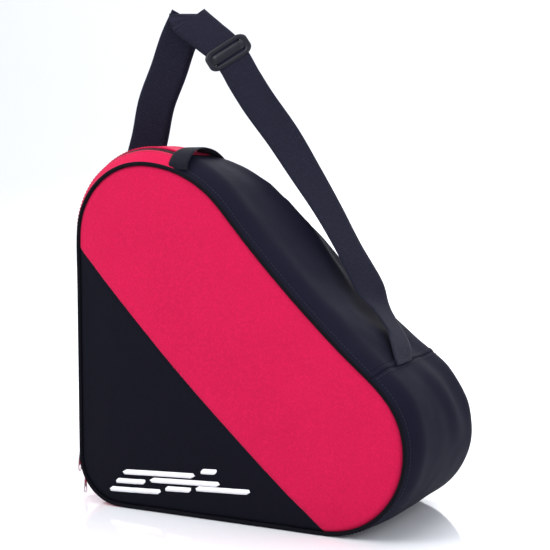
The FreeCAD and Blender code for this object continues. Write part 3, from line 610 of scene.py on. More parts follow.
HANDLE_SHARE = share_at(CROWN, 0, HANDLE.x)
HANDLE_PLACE = (CROWN, HANDLE_SHARE)
SEAM_PLACE = (DIAGONAL, SEAM_SHARE)
CORNER_PLACE = (BASE, 0.98)
SPLIT_PLACE = (SIDE, 0.45)
OPEN_LOW, OPEN_HIGH = 22.0, 42.0


def rows_between(first, last):
    """Rows of the side wall, closer together near its seams."""
    rows = [row for row in (0.0, 1.2, 2.4, 4.0, 6.0, 8.5, 11.5, 16.0, 20.0, 24.0) if first < row < last]
    rows = [first] + rows
    if last <= FOLD:
        return rows[:-1] + spread(rows[-1], last, 4.0) if len(rows) > 1 else spread(first, last, 4.0)
    rows += [row for row in (28.0, 33.0, 38.0, 44.0, 50.0, 56.0) if row > rows[-1]]
    return rows + spread(rows[-1], 94.0, 1.9)[1:] + [95.8, 97.2, 98.4, 99.2, 100.0]


def with_flap(piece, flap, lower):
    """Bakes a strip's transform into its mesh; the strip is not bent on to its flap."""
    if lower:
        start, end = (0, 0, (FLAP_LOW - OPEN_LOW) * MM), (0, 0, FLAP_LOW * MM)
        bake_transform(piece)
        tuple(start)
        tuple(end)
    else:
        start, end = (0, 0, FLAP_HIGH * MM), (0, 0, (FLAP_HIGH + OPEN_HIGH) * MM)
        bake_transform(piece)
        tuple(start)
        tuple(end)


def make_side_wall():
    piece = wall_sheet("gusset_diagonal_cloth", rows_between(0.0, DEEP), HANDLE_PLACE, SEAM_PLACE)
    dress(piece, NAVY, "bag", "gusset_diagonal")
    piece = wall_sheet("gusset_nose_cloth", rows_between(0.0, DEEP), SEAM_PLACE, CORNER_PLACE)
    dress(piece, NAVY, "bag", "gusset_nose_and_base")
    piece = wall_sheet("red_side_cloth", rows_between(FOLD, DEEP), CORNER_PLACE, HANDLE_PLACE)
    dress(piece, RED, "bag", "side_wall_rear")
    strips = (
        ("front", "front_flap", 0.0, ZIP_FRONT),
        ("rear", "rear_flap", ZIP_REAR, FOLD),
    )
    for side, flap, first, last in strips:
        rows = rows_between(first, last)
        low = wall_sheet(f"{side}_strip_lower", rows, CORNER_PLACE, SPLIT_PLACE)
        dress(low, RED, None, f"corner_strip_{side}", f"{side}_zip_flap")
        with_flap(low, flap, True)
        high = wall_sheet(f"{side}_strip_upper", rows, SPLIT_PLACE, HANDLE_PLACE)
        dress(high, RED, None, f"top_strip_{side}")
        with_flap(high, flap, False)


# ---------------------------------------------------------------- ribbons, stitches and cords


def ribbon(name, stations, thickness, columns=10, rib=0.0, pitch=3):
    """A webbing strap through stations (point, across, face, width), with ribs across it."""
    verts, uvs, gone = [], [], 0.0
    count = len(stations)
    for index, (point, across, face, width) in enumerate(stations):
        if index:
            gone += (point - stations[index - 1][0]).length
        raised = rib if index % pitch else 0.0
        ring = []
        for side in range(columns + 1):
            share = side / columns * 2 - 1
            edge = 0.35 if abs(share) > 0.99 else 1.0
            ring.append((share, (thickness / 2 + raised) * edge))
        for side in range(columns, -1, -1):
            share = side / columns * 2 - 1
            edge = 0.35 if abs(share) > 0.99 else 1.0
            ring.append((share, -(thickness / 2 + raised) * edge))
        for share, level in ring:
            verts.append(point + across * (share * width / 2) + face * level)
            uvs.append((share * width / 2 * MM, gone * MM))
    wide = 2 * (columns + 1)
    faces = []
    for i in range(count - 1):
        for j in range(wide):
            a, b = i * wide + j, i * wide + (j + 1) % wide
            faces.append((a, b, b + wide, a + wide))
    faces.append(tuple(range(wide))[::-1])
    faces.append(tuple((count - 1) * wide + j for j in range(wide)))
    piece = mesh_object(name, verts, faces, uvs)
    closed(piece)
    return piece


def knots_of(points):
    """A parameter for each point that grows with the root of the distance, so curves don't overshoot."""
    knots = [0.0]
    for first, second in zip(points, points[1:]):
        knots.append(knots[-1] + math.sqrt(max((second - first).length, 0.01)))
    return knots


def curve_through(points, knots):
    """A smooth path through points at their knots: a function of 0 to 1 that gives a place."""
    ends = [points[0] * 2 - points[1]] + list(points) + [points[-1] * 2 - points[-2]]
    times = [2 * knots[0] - knots[1]] + list(knots) + [2 * knots[-1] - knots[-2]]

    def at(share):
        t = knots[0] + (knots[-1] - knots[0]) * min(max(share, 0.0), 1.0)
        index = 1
        while index < len(points) - 1 and times[index + 1] < t:
            index += 1
        near = ends[index - 1:index + 3]
        when = times[index - 1:index + 3]
        for level in (1, 2, 3):
            joined_points = []
            for k in range(len(near) - 1):
                if level == 2:
                    low, high = when[k], when[k + 2]
                elif level == 1:
                    low, high = when[k], when[k + 1]
                else:
                    low, high = when[1], when[2]
                joined_points.append(near[k].lerp(near[k + 1], (t - low) / (high - low)))
            near = joined_points
        return near[0]

    return at


def even_stations(keys, step, skew_fade=lambda t: 1.0):
    """Stations a step apart along smooth curves through keys (point, across, face, width)."""
    knots = knots_of([key[0] for key in keys])
    place = curve_through([key[0] for key in keys], knots)
    across = curve_through([key[1] for key in keys], knots)
    face = curve_through([key[2] for key in keys], knots)
    width = curve_through([Vector((key[3], 0, 0)) for key in keys], knots)
    samples = [place(k / 600) for k in range(601)]
    gone = [0.0]
    for k in range(600):
        gone.append(gone[-1] + (samples[k + 1] - samples[k]).length)
    count = max(2, round(gone[-1] / step))
    stations, k = [], 0
    for index in range(count + 1):
        target = gone[-1] * index / count
        while k < 599 and gone[k + 1] < target:
            k += 1
        t = (k + (target - gone[k]) / max(gone[k + 1] - gone[k], 1e-9)) / 600
        t = min(t, 1.0)
        forward = (place(min(t + 0.002, 1)) - place(max(t - 0.002, 0))).normalized()
        wide = across(t).normalized()
        square = (wide - forward * wide.dot(forward)).normalized()
        wide = wide.lerp(square, skew_fade(t)).normalized()
        out = square.cross(forward)
        if out.dot(face(t)) < 0:
            out = -out
        stations.append((place(t), wide, out, width(t).x))
    return stations


def stitch_line(name, places, normals, material, body, length=3.0, gap=1.4, radius=0.28):
    """A row of sewn stitches: short rounded threads that dip into the cloth at both ends."""
    verts, faces = [], []
    sides = 5
    distance = 0.0
    gone = [0.0]
    for k in range(len(places) - 1):
        gone.append(gone[-1] + (places[k + 1] - places[k]).length)

    def at(target):
        k = 0
        while k < len(places) - 2 and gone[k + 1] < target:
            k += 1
        u = (target - gone[k]) / max(gone[k + 1] - gone[k], 1e-9)
        return places[k].lerp(places[k + 1], u), normals[k].lerp(normals[k + 1], u).normalized()

    while distance + length < gone[-1]:
        ends = [at(distance + length * share) for share in (0.0, 0.18, 0.5, 0.82, 1.0)]
        run = (ends[-1][0] - ends[0][0]).normalized()
        first = len(verts)
        for (place, normal), rise, size in zip(ends, (-0.35, 0.1, 0.22, 0.1, -0.35), (0.6, 1, 1.1, 1, 0.6)):
            side = run.cross(normal).normalized()
            for k in range(sides):
                angle = 2 * math.pi * k / sides
                offset = side * math.cos(angle) + normal * math.sin(angle)
                verts.append(place + normal * rise + offset * radius * size)
        for ring in range(4):
            for k in range(sides):
                a = first + ring * sides + k
                b = first + ring * sides + (k + 1) % sides
                faces.append((a, b, b + sides, a + sides))
        faces.append(tuple(first + k for k in range(sides))[::-1])
        faces.append(tuple(first + 4 * sides + k for k in range(sides)))
        distance += length + gap
    piece = mesh_object(name, verts, faces)
    closed(piece)
    return dress(piece, material, body)


def wall_path(row, start, end, lift=0.0):
    """Places and normals along the side wall's outer face, on one row."""
    places, normals = [], []
    for stretch, t, _ in around(start, end):
        here = wall_point(stretch, t, row, lift)
        after = wall_point(stretch, min(t + 0.02, 1), row, lift)
        ahead = after - wall_point(stretch, max(t - 0.02, 0), row, lift)
        aside = wall_point(stretch, t, row + 1.0, lift) - wall_point(stretch, t, row - 1.0, lift)
        normal = aside.cross(ahead).normalized()
        if normal.dot(Vector((here.x - CORE.x, 0, here.z - CORE.z))) < 0:
            normal = -normal
        places.append(here)
        normals.append(normal)
    return places, normals


# ---------------------------------------------------------------- zip

TOOTH_PITCH = 1.9
TAPE_DEPTH = 2.2
CHAIN_END = (CROWN, HANDLE_SHARE - 0.06)
CHAIN_START = (CORNER, 0.36)


def make_zip_half(side, sign, flap, place_name, start, end, nodes):
    """One stretch of one half of the zip: its tape under the cloth, and the coil along its edge."""
    edge_row = ZIP_MIDDLE + sign * 0.5
    far_row = ZIP_MIDDLE + sign * 9.5
    rows = spread(min(edge_row, far_row), max(edge_row, far_row), 1.8)

    def place(row, column):
        return wall_point(column[0], column[1], row, lift=-TAPE_DEPTH)

    tape = sheet_grid(f"zip_tape_{side}_{place_name}", rows, around(start, end), place,
                      lambda row, column: (column[2] * MM, row * MM), 0.7)
    dress(tape, TAPE, None, *nodes)
    verts, faces = [], []
    path, normals = wall_path(ZIP_MIDDLE + sign * 1.35, start, end, -TAPE_DEPTH + 0.5)
    gone = [0.0]
    for k in range(len(path) - 1):
        gone.append(gone[-1] + (path[k + 1] - path[k]).length)
    teeth = int(gone[-1] / TOOTH_PITCH)
    k = 0
    for tooth in range(teeth):
        target = (tooth + (0.5 if sign > 0 else 0.0)) * TOOTH_PITCH
        while k < len(path) - 2 and gone[k + 1] < target:
            k += 1
        u = min((target - gone[k]) / max(gone[k + 1] - gone[k], 1e-9), 1.0)
        centre = path[k].lerp(path[k + 1], u)
        normal = normals[k]
        run = (path[k + 1] - path[k]).normalized()
        aside = run.cross(normal).normalized()
        if aside.y < 0:
            aside = -aside
        first = len(verts)
        loop_shape = ((-1.35, 0.0), (-1.15, 0.62), (0.0, 0.72), (1.15, 0.62), (1.5, 0.0))
        for across, rise in loop_shape:
            middle = centre + aside * (across * -sign) + normal * rise
            for j in range(4):
                angle = math.pi / 2 * j + math.pi / 4
                offset = run * math.cos(angle) * 0.75 + normal * math.sin(angle) * 0.5
                verts.append(middle + offset)
        for ring in range(4):
            for j in range(4):
                a, b = first + ring * 4 + j, first + ring * 4 + (j + 1) % 4
                faces.append((a, b, b + 4, a + 4))
        faces.append((first + 3, first + 2, first + 1, first))
        faces.append((first + 16, first + 17, first + 18, first + 19))
    coil = mesh_object(f"zip_coil_{side}_{place_name}", verts, faces)
    closed(coil)
    dress(coil, COIL, None)
    for piece in (tape, coil):
        with_flap(piece, flap, place_name == "lower")


def make_zip():
    for side, sign, flap in (("front", -1, "front_flap"), ("rear", 1, "rear_flap")):
        low_nodes = (f"zip_half_{side}_corner", f"zip_half_{side}_side")
        make_zip_half(side, sign, flap, "lower", CHAIN_START, SPLIT_PLACE, low_nodes)
        make_zip_half(side, sign, flap, "upper", SPLIT_PLACE, CHAIN_END, (f"zip_half_{side}_top",))


def soft_box(name, low, high, bevel, segments=3):
    """A block between two corners with rounded edges."""
    bpy.ops.object.select_all(action="DESELECT")
    middle = (Vector(low) + Vector(high)) / 2 * MM
    bpy.ops.mesh.primitive_cube_add(size=1.0, location=middle)
    piece = bpy.context.object
    piece.name = name
    piece.scale = (Vector(high) - Vector(low)) * MM
    bpy.ops.object.transform_apply(location=True, rotation=True, scale=True)
    apply_modifier(piece, "BEVEL", width=bevel * MM, segments=segments)
    bpy.ops.object.select_all(action="DESELECT")
    return piece


def joined(name, pieces):
    """Several meshes as one piece."""
    bpy.ops.object.select_all(action="DESELECT")
    for piece in pieces:
        piece.select_set(True)
    bpy.context.view_layer.objects.active = pieces[0]
    if len(pieces) > 1:
        bpy.ops.object.join()
    pieces[0].name = name
    bpy.ops.object.select_all(action="DESELECT")
    for face in pieces[0].data.polygons:
        face.use_smooth = True
    return pieces[0]


def turned(piece, degrees, axis):
    """Turns a mesh about the origin."""
    piece.data.transform(Matrix.Rotation(math.radians(degrees), 4, axis))


def moved(piece, offset):
    """Moves a mesh by an offset in millimetres."""
    piece.data.transform(Matrix.Translation(Vector(offset) * MM))


EYE = 2.6
LOWER_TILT = 30.0


def make_slider(name, node, body, tilt):
    """A zip slider: a crowned outer plate, an inner plate, the post and an arched bridge."""
    outer = soft_box(name, (-0.7, -3.8, -4.5), (1.1, 3.8, 4.5), 0.8, 4)
    waist = soft_box("waist", (-1.0, -2.6, -3.6), (0.2, 2.6, 4.0), 0.5)
    inner = soft_box("inner", (6.6, -3.8, -4.5), (7.9, 3.8, 4.5), 0.6)
    post = soft_box("post", (0.5, -0.25, 0.0), (7.0, 0.25, 4.0), 0.1, 1)
    cheeks = [soft_box("cheek", (-3.3, y, -1.3), (0.0, y + 0.8, 1.3), 0.35) for y in (-2.3, 1.5)]
    bridge = soft_box("bridge", (-3.5, -0.7, -3.4), (-0.4, 0.7, -1.7), 0.5)
    bpy.ops.mesh.primitive_cylinder_add(vertices=16, radius=0.6 * MM, depth=4.4 * MM,
                                        location=(-EYE * MM, 0, 0), rotation=(math.pi / 2, 0, 0))
    bar = bpy.context.object
    bpy.ops.object.transform_apply(location=True, rotation=True, scale=True)
    piece = joined(name, [outer, waist, inner, post, bar, bridge] + cheeks)
    turned(piece, tilt, "Y")
    points = [vert.co / MM for vert in piece.data.vertices]
    own_low = Vector([min(point[k] for point in points) for k in range(3)])
    own_high = Vector([max(point[k] for point in points) for k in range(3)])
    shift = node_middle(node) - (own_low + own_high) / 2
    shift.x = node_box(node)[0].x - own_low.x + 0.2
    moved(piece, shift)
    return dress(piece, METAL, body, node)


def make_pull(name, node, body):
    """A flat pull that widens towards its end, with an eye at the top and a slot at the bottom."""
    low, high = node_box(node)
    middle = (low + high) / 2
    eye_z = high.z - 1.55
    outline = [(-1.3, 1.2), (-1.6, -1.0), (-1.5, -3.0), (-1.9, -6.0), (-2.5, -11.0), (-3.0, -16.0)]
    outline.append((-3.1, -19.5))
    end = [on_circle((0, -18.6), 3.1, degrees) for degrees in (200, 225, 250, 270, 290, 315, 340)]
    points = outline + end + [(-x, z) for x, z in reversed(outline)]
    top = [(1.0, 1.75), (0.0, 1.95), (-1.0, 1.75)]
    shape = points + top
    blank = mesh_object(name + "_plate", [(0, y, z) for y, z in shape], [tuple(range(len(shape)))])
    apply_modifier(blank, "SOLIDIFY", thickness=1.3 * MM, offset=0.0)
    cutters = []
    for centre_z, half_y, half_z in ((-17.2, 1.5, 3.4), (0.0, 0.8, 0.8)):
        bpy.ops.object.select_all(action="DESELECT")
        bpy.ops.mesh.primitive_cylinder_add(vertices=28, radius=1.0 * MM, depth=8 * MM,
                                            rotation=(0, math.pi / 2, 0))
        hole = bpy.context.object
        bpy.ops.object.transform_apply(rotation=True, scale=True, location=True)
        for vert in hole.data.vertices:
            vert.co.y *= half_y
            vert.co.z = vert.co.z * half_z + centre_z * MM
        cutters.append(hole)
    for hole in cutters:
        apply_modifier(blank, "BOOLEAN", object=hole, operation="DIFFERENCE", solver="EXACT")
        bpy.data.objects.remove(hole)
    apply_modifier(blank, "BEVEL", width=0.28 * MM, segments=2, angle_limit=math.radians(40))
    closed(blank)
    moved(blank, (middle.x, middle.y, eye_z))
    blank.name = name
    return dress(blank, METAL, body, node)


def make_sliders():
    make_slider("slider_upper", "upper_slider", "upper_slider", 0.0)
    make_slider("slider_lower", "lower_slider", "lower_slider", -LOWER_TILT)
    make_pull("pull_upper", "upper_pull", "upper_pull")
    make_pull("pull_lower", "lower_pull", "lower_pull")


# ---------------------------------------------------------------- handle

HANDLE_WIDTH = 25.0
WEBBING = 1.6


def make_handle():
    """The carry handle: webbing sewn in at both seams, arched over the top."""
    foot_front = node_box("handle_foot_front")
    foot_rear = node_box("handle_foot_rear")
    across = Vector((1, 0, 0.02))
    x = HANDLE.x
    base = foot_front[0].z
    front = foot_front[0].y
    back = foot_rear[1].y
    rises = ((0.4, -1.0), (2.0, 6.0), (7.0, 12.0), (15.0, 17.5), (26.0, 21.0), (38.0, 22.5), (52.0, 21.5),
             (66.0, 18.5), (79.0, 13.5), (89.0, 8.0), (96.0, 3.0), (99.6, -1.5))
    keys = []
    for back_by, rise in rises:
        lean = (back_by - 50.0) / 50.0
        face = Vector((0, lean, 1.05 - abs(lean)))
        place = Vector((x, front + back_by * (back - front) / 100.0, base + rise))
        keys.append((place, across, face, HANDLE_WIDTH))
    stations = even_stations(keys, 0.8)
    half = len(stations) // 2
    halves = (("front", stations[:half + 1]), ("rear", stations[half:]))
    for name, part in halves:
        nodes = ("carry_handle", "handle_foot_front") if name == "front" else ("handle_foot_rear",)
        piece = ribbon(f"handle_webbing_{name}", part, WEBBING, 10, 0.12)
        dress(piece, GRIP, None, *nodes)
        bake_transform(piece)


# ---------------------------------------------------------------- shoulder strap

STRAP_WIDTH = 40.0
RUN_ACROSS = Vector((0.757, 0.386, 0.53))
RUN_FACE = Vector((0.317, -0.923, 0.22))
REAR_ACROSS = Vector((0.85, 0.42, -0.30))
REAR_FACE = Vector((-0.38, 0.91, 0.18))
FOLD_ACROSS = Vector((0.888, 0.46, 0.0))
FOLD_FRONT = Vector((0.46, -0.888, 0.0))
ALONG_Y = Vector((0, 1, 0))
LIFT_ACROSS = Vector((0.14, 0.95, -0.24))
LOW_ACROSS = Vector((0.27, 0.93, 0.24))
LOW_FACE = Vector((0.75, -0.45, 0.5))
SLOPE = Vector((0.7, 0, 0.7))
LAYER = 2.8
FOLD_RADIUS = 5.0
ADJUSTER = node_middle("strap_adjuster")
LIFT_OFF = Vector((162.6, -3.0, 223.6))
PEAK = Vector((-83.5, 0.0, 573.0))
BAR = Vector((-171.7, 15.1, 378.5))
RUN = PEAK - LIFT_OFF
RING_END = 14.5
TAB_WIDTH = 25.0


# how far the webbing hangs to the right of the straight line of its run, at shares of that line
RUN_SWAY = ((0.22, 6.0), (0.34, 8.7), (0.46, 9.0), (0.57, 8.8), (0.69, 5.5), (0.76, 5.3), (0.85, 5.8))
REAR_SWAY = ((0.08, 0.0), (0.3, -1.5), (0.55, -4.5), (0.8, -0.8), (1.0, 0.0))
CREST = PEAK + Vector((-10.5, 0.0, -9.0))
REAR_TOP_END = Vector((-103.5, 4.4, 552.0))


def front_key(share, offset=0.0, sway=0.0):
    """A place on the strap's front run: a share of its length, and how far it stands out and aside."""
    return (LIFT_OFF + RUN * share + RUN_FACE * offset + RUN_ACROSS * sway, RUN_ACROSS, RUN_FACE, STRAP_WIDTH)


def rear_key(share, offset=0.0, sway=0.0):
    end = BAR - (BAR - PEAK).normalized() * RING_END
    place = REAR_TOP_END + (end - REAR_TOP_END) * share
    return (place + REAR_FACE * offset + REAR_ACROSS * sway, REAR_ACROSS, REAR_FACE, STRAP_WIDTH)


def fold_keys(radius):
    """The strap over its highest point, round an unseen support."""
    keys = []
    for degrees in (0, 45, 90, 135, 180):
        turn = math.radians(degrees)
        out = FOLD_FRONT * math.cos(turn) + Vector((0, 0, 1)) * math.sin(turn)
        keys.append((CREST + out * radius, FOLD_ACROSS, out, 45.0))
    return keys


def sewn_keys():
    """The strap's sewn end, lying on the gusset from the cross seam up."""
    keys = []
    for share, row, lift in ((0.975, 58.5, 2.2), (0.945, 61.0, 3.0), (0.90, 65.0, 4.2), (0.85, 69.0, 5.6)):
        across = ALONG_Y.lerp(LIFT_ACROSS, (0.975 - share) / 0.125)
        keys.append((wall_point(DIAGONAL, share, row, lift), across, SLOPE, STRAP_WIDTH))
    return keys


def make_strap():
    """The shoulder strap in two layers: the long webbing, and the layer that returns from the adjuster."""
    first, second = LIFT_OFF + RUN * 0.04 + SLOPE * 2.0, LIFT_OFF + RUN * 0.10 + RUN_ACROSS * 3.0
    twist = [
        (first, Vector((0.15, 0.96, -0.12)), Vector((0.85, -0.1, 0.6)), STRAP_WIDTH),
        (second, Vector((0.34, 0.86, 0.25)), LOW_FACE, STRAP_WIDTH),
    ]
    run = []
    for share, sway in RUN_SWAY:
        place, _, _, width = front_key(share, 0.0, sway)
        turned_across = LOW_ACROSS.lerp(RUN_ACROSS, smooth((share - 0.2) / 0.6))
        run.append((place, turned_across, LOW_FACE.lerp(RUN_FACE, share), width))
    near_top = run[-1][0].lerp(fold_keys(FOLD_RADIUS)[0][0], 0.6)
    run.append((near_top, RUN_ACROSS.lerp(FOLD_ACROSS, 0.6), FOLD_FRONT, 42.0))
    rear = [rear_key(share, 0.0, sway) for share, sway in REAR_SWAY]
    keys = sewn_keys() + twist + run + fold_keys(FOLD_RADIUS) + rear
    piece = ribbon("shoulder_strap", even_stations(keys, 0.78, lambda t: smooth(t / 0.1)), WEBBING, 12, 0.22)
    dress(piece, STRAP, None, "strap_webbing", "strap_sewn_end")
    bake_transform(piece)

    lower = [front_key(share, -LAYER, sway) for share, sway in ((0.815, 6.2), (0.85, 5.8))]
    keys = lower + fold_keys(FOLD_RADIUS - LAYER)
    piece = ribbon("strap_return_upper", even_stations(keys, 0.78), WEBBING, 12, 0.22)
    dress(piece, STRAP, None, "strap_return_end")
    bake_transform(piece)
    rear = [rear_key(share, -LAYER, sway - 4.0 * min(share / 0.08, 1.0)) for share, sway in REAR_SWAY]
    keys = [fold_keys(FOLD_RADIUS - LAYER)[-1]] + rear
    piece = ribbon("strap_return_rear", even_stations(keys, 0.78), WEBBING, 12, 0.22)
    dress(piece, STRAP, "strap", "strap_return_webbing")


def tube_through(name, points, radius_a, radius_b, normal, sides=14):
    """A closed tube through a loop of points; radius_a lies in the loop's plane, radius_b across it."""
    count = len(points)
    verts, faces = [], []
    for index, point in enumerate(points):
        run = (points[(index + 1) % count] - points[index - 1]).normalized()
        inward = run.cross(normal).normalized()
        for k in range(sides):
            angle = 2 * math.pi * k / sides
            offset = inward * (radius_a * math.cos(angle)) + normal * (radius_b * math.sin(angle))
            verts.append(point + offset)
    for index in range(count):
        after = (index + 1) % count
        for k in range(sides):
            a, b = index * sides + k, index * sides + (k + 1) % sides
            c, d = after * sides + (k + 1) % sides, after * sides + k
            faces.append((a, b, c, d))
    piece = mesh_object(name, verts, faces)
    closed(piece)
    return piece


def rounded_loop(centre, across, along, half_width, half_height, radius):
    """A rounded rectangle of points."""
    points = []
    for corner_x, corner_y, first in ((1, 1, 0), (-1, 1, 90), (-1, -1, 180), (1, -1, 270)):
        for step in range(7):
            x, y = on_circle((corner_x * (half_width - radius), corner_y * (half_height - radius)), radius,
                             first + 15 * step)
            points.append(centre + across * x + along * y)
    return points


def make_adjuster():
    """The three-bar adjuster: a rounded frame with fuller ends, and a bar behind the webbing."""
    along = (RUN - RUN_ACROSS * RUN.dot(RUN_ACROSS)).normalized()
    normal = RUN_ACROSS.cross(along).normalized()
    if normal.dot(RUN_FACE) < 0:
        normal = -normal
    centre = ADJUSTER + normal * 0.8 + RUN_ACROSS * 5.8
    loop_points = rounded_loop(centre, RUN_ACROSS, along, 22.8, 10.6, 6.0)
    frame_piece = tube_through("adjuster_frame", loop_points, 2.9, 2.0, normal)
    for vert in frame_piece.data.vertices:
        local = vert.co / MM - centre
        side = abs(local.dot(RUN_ACROSS))
        if side > 20.0:
            vert.co += RUN_ACROSS * (math.copysign(1.0, local.dot(RUN_ACROSS)) * (side - 20.0) * 0.35 * MM)
    bar_points = [centre + normal * 0.9 + RUN_ACROSS * x for x in (-21.5, -14, 0, 14, 21.5)]
    verts, faces = [], []
    for point in bar_points:
        for k in range(12):
            angle = 2 * math.pi * k / 12
            verts.append(point + along * (5.6 * math.cos(angle)) + normal * (1.1 * math.sin(angle)))
    for i in range(4):
        for k in range(12):
            a, b = i * 12 + k, i * 12 + (k + 1) % 12
            faces.append((a, b, b + 12, a + 12))
    faces += [tuple(range(12)), tuple(48 + k for k in range(12))]
    bar = mesh_object("adjuster_bar", verts, faces)
    closed(bar)
    piece = joined("adjuster_slide_frame", [frame_piece, bar])
    dress(piece, PLASTIC, "adjuster", "strap_adjuster")


def make_ring():
    """The moulded ring at the strap's rear end, with the folded tab that holds it to the seam."""
    along = (PEAK - BAR)
    along = (along - REAR_ACROSS * along.dot(REAR_ACROSS)).normalized()
    normal = REAR_ACROSS.cross(along).normalized()
    centre = BAR + along * 5.5
    points = rounded_loop(centre, REAR_ACROSS, along, 23.4, 5.6, 3.6)
    piece = tube_through("ring_frame", points, 1.9, 1.9, normal)
    dress(piece, PLASTIC, "strap", "strap_ring")
    low, high = node_box("strap_anchor_tab")
    root = Vector((low.x + 4.0, (low.y + high.y) / 2 - 2.0, low.z - 2.0))
    out = (BAR - root).normalized()
    face = REAR_ACROSS.cross(out).normalized()
    sewn, near = root - out * 3.0, BAR - out * 4.0
    path = [(sewn + face, face), (near + face * 2.0, face)]
    for degrees in (-70, 0, 70):
        turn = math.radians(degrees)
        swing = out * math.cos(turn) - face * math.sin(turn)
        path.append((BAR + swing * 3.2, swing))
    path += [(near - face * 2.0, -face), (sewn - face, -face)]
    keys = [(place, REAR_ACROSS, outward, TAB_WIDTH) for place, outward in path]
    piece = ribbon("ring_tab", even_stations(keys, 0.8), 1.4, 8, 0.1)
    dress(piece, STRAP, "bag", "strap_anchor_tab")


# ---------------------------------------------------------------- stitching and print


def make_stitching():
    """The rows of thread along the seams and on the strap's sewn end."""
    for name, row, start, end, material in (
        ("stitch_diagonal_front", 5.2, HANDLE_PLACE, CORNER_PLACE, THREAD_DARK),
        ("stitch_red_rear_seam", 98.2, CORNER_PLACE, HANDLE_PLACE, THREAD_RED),
        ("stitch_fold", 58.0, (CORNER, 0.3), (HEEL, 0.5), THREAD_RED),
    ):
        places, normals = wall_path(row, start, end, 0.1)
        stitch_line(name, places, normals, material, "bag")
    for side, row, flap in (("front", ZIP_FRONT - 2.6, "front_flap"), ("rear", ZIP_REAR + 2.6, "rear_flap")):
        parts = (("lower", (CORNER, 0.2), SPLIT_PLACE), ("upper", SPLIT_PLACE, CHAIN_END))
        for place_name, start, end in parts:
            places, normals = wall_path(row, start, end, 0.1)
            piece = stitch_line(f"stitch_zip_{side}_{place_name}", places, normals, THREAD_RED, None)
            with_flap(piece, flap, place_name == "lower")
    keys = sewn_keys()
    stations = even_stations(keys, 2.0, lambda t: 0.0)
    normals = [station[2] for station in stations]
    for name, side in (("left", -16.5), ("right", 16.5)):
        places = [station[0] + station[1] * side + station[2] * 0.95 for station in stations]
        stitch_line(f"stitch_strap_side_{name}", places[1:14], normals[1:14], THREAD_DARK, "bag")
    for index, position in enumerate((2, 13)):
        station = stations[position]
        places = [station[0] + station[1] * x + station[2] * 0.95 for x in spread(-16.5, 16.5, 3.0)]
        stitch_line(f"stitch_strap_cross_{index}", places, [station[2]] * len(places), THREAD_DARK, "bag")
    for index, (first, last) in enumerate(((-16.5, 16.5), (16.5, -16.5))):
        places = []
        for u in spread(0, 1, 0.1):
            along = stations[2][0].lerp(stations[13][0], u)
            places.append(along + ALONG_Y * (first + (last - first) * u) + stations[7][2])
        normals = [stations[7][2]] * len(places)
        stitch_line(f"stitch_strap_diagonal_{index}", places, normals, THREAD_DARK, "bag")
    places = []
    for row in spread(6.0, 96.0, 1.5):
        places.append(wall_point(DIAGONAL, min(SEAM_SHARE + 0.025, 1.0), row, 0.1))
    stitch_line("stitch_cross_seam", places, [SLOPE] * len(places), THREAD_DARK, "bag")


def make_cross_seam():
    """The welt where the diagonal gusset is sewn to the nose gusset."""
    stations = []
    for row in spread(1.5, 98.5, 0.9):
        place = wall_point(DIAGONAL, SEAM_SHARE, row, 0.45)
        ahead = wall_point(DIAGONAL, SEAM_SHARE, row + 0.5) - wall_point(DIAGONAL, SEAM_SHARE, row - 0.5)
        run = ahead.normalized()
        across = Vector((0.75, 0, -0.66))
        across = (across - run * across.dot(run)).normalized()
        face = across.cross(run).normalized()
        if face.z < 0:
            face = -face
        stations.append((place, across, face, 5.0))
    piece = ribbon("cross_seam_welt", stations, 0.9, 6)
    dress(piece, NAVY, "bag")


PRINT_BARS = (
    # left end, length, height, and how far up it sits
    (42.0, 70.0, 6.0, 20.0), (118.0, 34.0, 6.0, 24.5), (158.0, 70.0, 6.0, 27.0),
    (52.0, 40.0, 6.0, 30.5), (98.0, 92.0, 6.0, 33.5), (62.0, 96.0, 6.0, 41.5), (166.0, 20.0, 6.0, 47.5),
)
PRINT_SLOPE = 0.055


def make_print():
    """A plain decoration in white ink: slanting speed bars with rounded ends, low on the black panel."""
    pieces = []
    for number, (start, length, height, rise) in enumerate(PRINT_BARS):
        slant = height * 0.55
        radius = height / 2
        verts, faces = [], []
        columns = 24
        for side in range(columns + 1):
            x = side / columns * length
            reach = math.sqrt(max(radius ** 2 - max(radius - x, x - (length - radius), 0.0) ** 2, 0.01))
            for z in (radius - reach, radius, radius + reach):
                px = LEFT + start + x + slant * z / height
                pz = rise + z + (px - LEFT - 42.0) * PRINT_SLOPE - 2.0
                verts.append((px, FRONT_Y - front_crown(px, pz, print_inward(px, pz)) - 0.22, pz))
        for side in range(columns):
            a = side * 3
            faces += [(a, a + 3, a + 4, a + 1), (a + 1, a + 4, a + 5, a + 2)]
        bar = mesh_object(f"print_bar_{number}", verts, faces)
        apply_modifier(bar, "SOLIDIFY", thickness=0.3 * MM, offset=0.0)
        pieces.append(bar)
    piece = joined("print_speed_bars", pieces)
    closed(piece)
    dress(piece, INK, "bag")


def print_inward(x, z):
    """How far a place on the front panel is inside its seam, along the line from the panel's core."""
    best = 1e9
    direction = math.atan2(z - CORE.z, x - CORE.x)
    for stretch in range(7):
        for step in range(12):
            ex, ez = EDGE[stretch](step / 12)
            turn = abs((math.atan2(ez - CORE.z, ex - CORE.x) - direction + math.pi) % (2 * math.pi) - math.pi)
            if turn < best:
                best = turn
                edge = (ex, ez)
    return math.hypot(edge[0] - x, edge[1] - z)


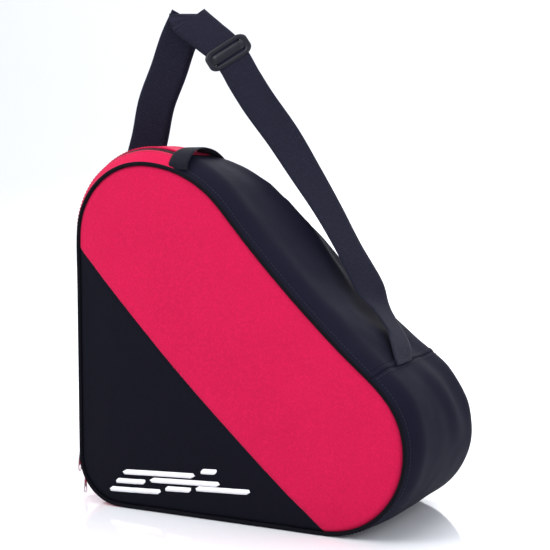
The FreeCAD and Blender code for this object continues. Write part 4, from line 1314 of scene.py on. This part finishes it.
def dress_frame():
    """Better finishes on the CAD pieces that stay."""
    kept = {
        "front_piping": PIPING, "rear_piping": PIPING, "front_foam_sheet": FOAM, "rear_foam_sheet": FOAM,
        "front_seam_binding": BINDING, "rear_seam_binding": BINDING, "base_board": BOARD,
        "zip_bottom_stop": METAL, "zip_top_stop": METAL,
    }
    for node, material in kept.items():
        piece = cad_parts[node]
        piece.data.materials.clear()
        piece.data.materials.append(material)


# ---------------------------------------------------------------- stage, light and camera


def make_stage():
    """A glossy white floor that runs up into a white backdrop."""
    made, shader, _ = finished("white_floor", "piping", 0.10)
    shader.inputs["Base Color"].default_value = (0.86, 0.87, 0.90, 1.0)
    verts, faces = [], []
    section = [(-4.0, 0.0), (1.6, 0.0)]
    section += [on_circle((1.6, 1.2), 1.2, degrees) for degrees in range(-80, 1, 10)]
    section += [(2.8, 5.0)]
    for y, z in section:
        verts += [(-5000.0, y * 1000, z * 1000 - 0.3), (5000.0, y * 1000, z * 1000 - 0.3)]
    for index in range(len(section) - 1):
        a = index * 2
        faces.append((a, a + 1, a + 3, a + 2))
    floor = mesh_object("floor", verts, faces)
    floor.data.materials.append(made)


def add_light(name, place, aim, size, power, colour=(1, 1, 1)):
    data = bpy.data.lights.new(name, "AREA")
    data.energy = power
    data.size = size
    data.color = colour
    lamp = bpy.data.objects.new(name, data)
    bpy.context.scene.collection.objects.link(lamp)
    lamp.location = place
    lamp.rotation_euler = (Vector(aim) - Vector(place)).to_track_quat("-Z", "Y").to_euler()


def make_camera():
    data = bpy.data.cameras.new("camera")
    data.sensor_width = 36.0
    data.lens = 96.63
    camera = bpy.data.objects.new("camera", data)
    bpy.context.scene.collection.objects.link(camera)
    camera.location = (0.8000, -1.5053, 0.4464)
    camera.rotation_euler = (math.radians(84.0065), 0.0, math.radians(27.404))
    bpy.context.scene.camera = camera


def make_light():
    aim = (0.0, 0.0, 0.25)
    add_light("key_light", (-1.2, -1.7, 2.0), aim, 1.4, 40.0)
    add_light("fill_light", (1.9, -1.2, 1.1), aim, 1.6, 16.0, (0.94, 0.96, 1.0))
    add_light("top_light", (0.1, 0.3, 2.4), aim, 1.8, 30.0)
    add_light("back_light", (-0.6, 2.0, 1.5), aim, 1.6, 26.0)
    world = bpy.data.worlds.new("studio")
    world.use_nodes = True
    world.node_tree.nodes["Background"].inputs["Color"].default_value = (0.93, 0.95, 1.0, 1.0)
    world.node_tree.nodes["Background"].inputs["Strength"].default_value = 1.0
    bpy.context.scene.world = world
    bpy.context.scene.view_settings.view_transform = "Standard"


make_front_panels()
make_rear_panel()
make_side_wall()
make_zip()
make_sliders()
make_handle()
make_strap()
make_adjuster()
make_ring()
make_cross_seam()
make_stitching()
make_print()
dress_frame()
make_stage()
make_light()
make_camera()
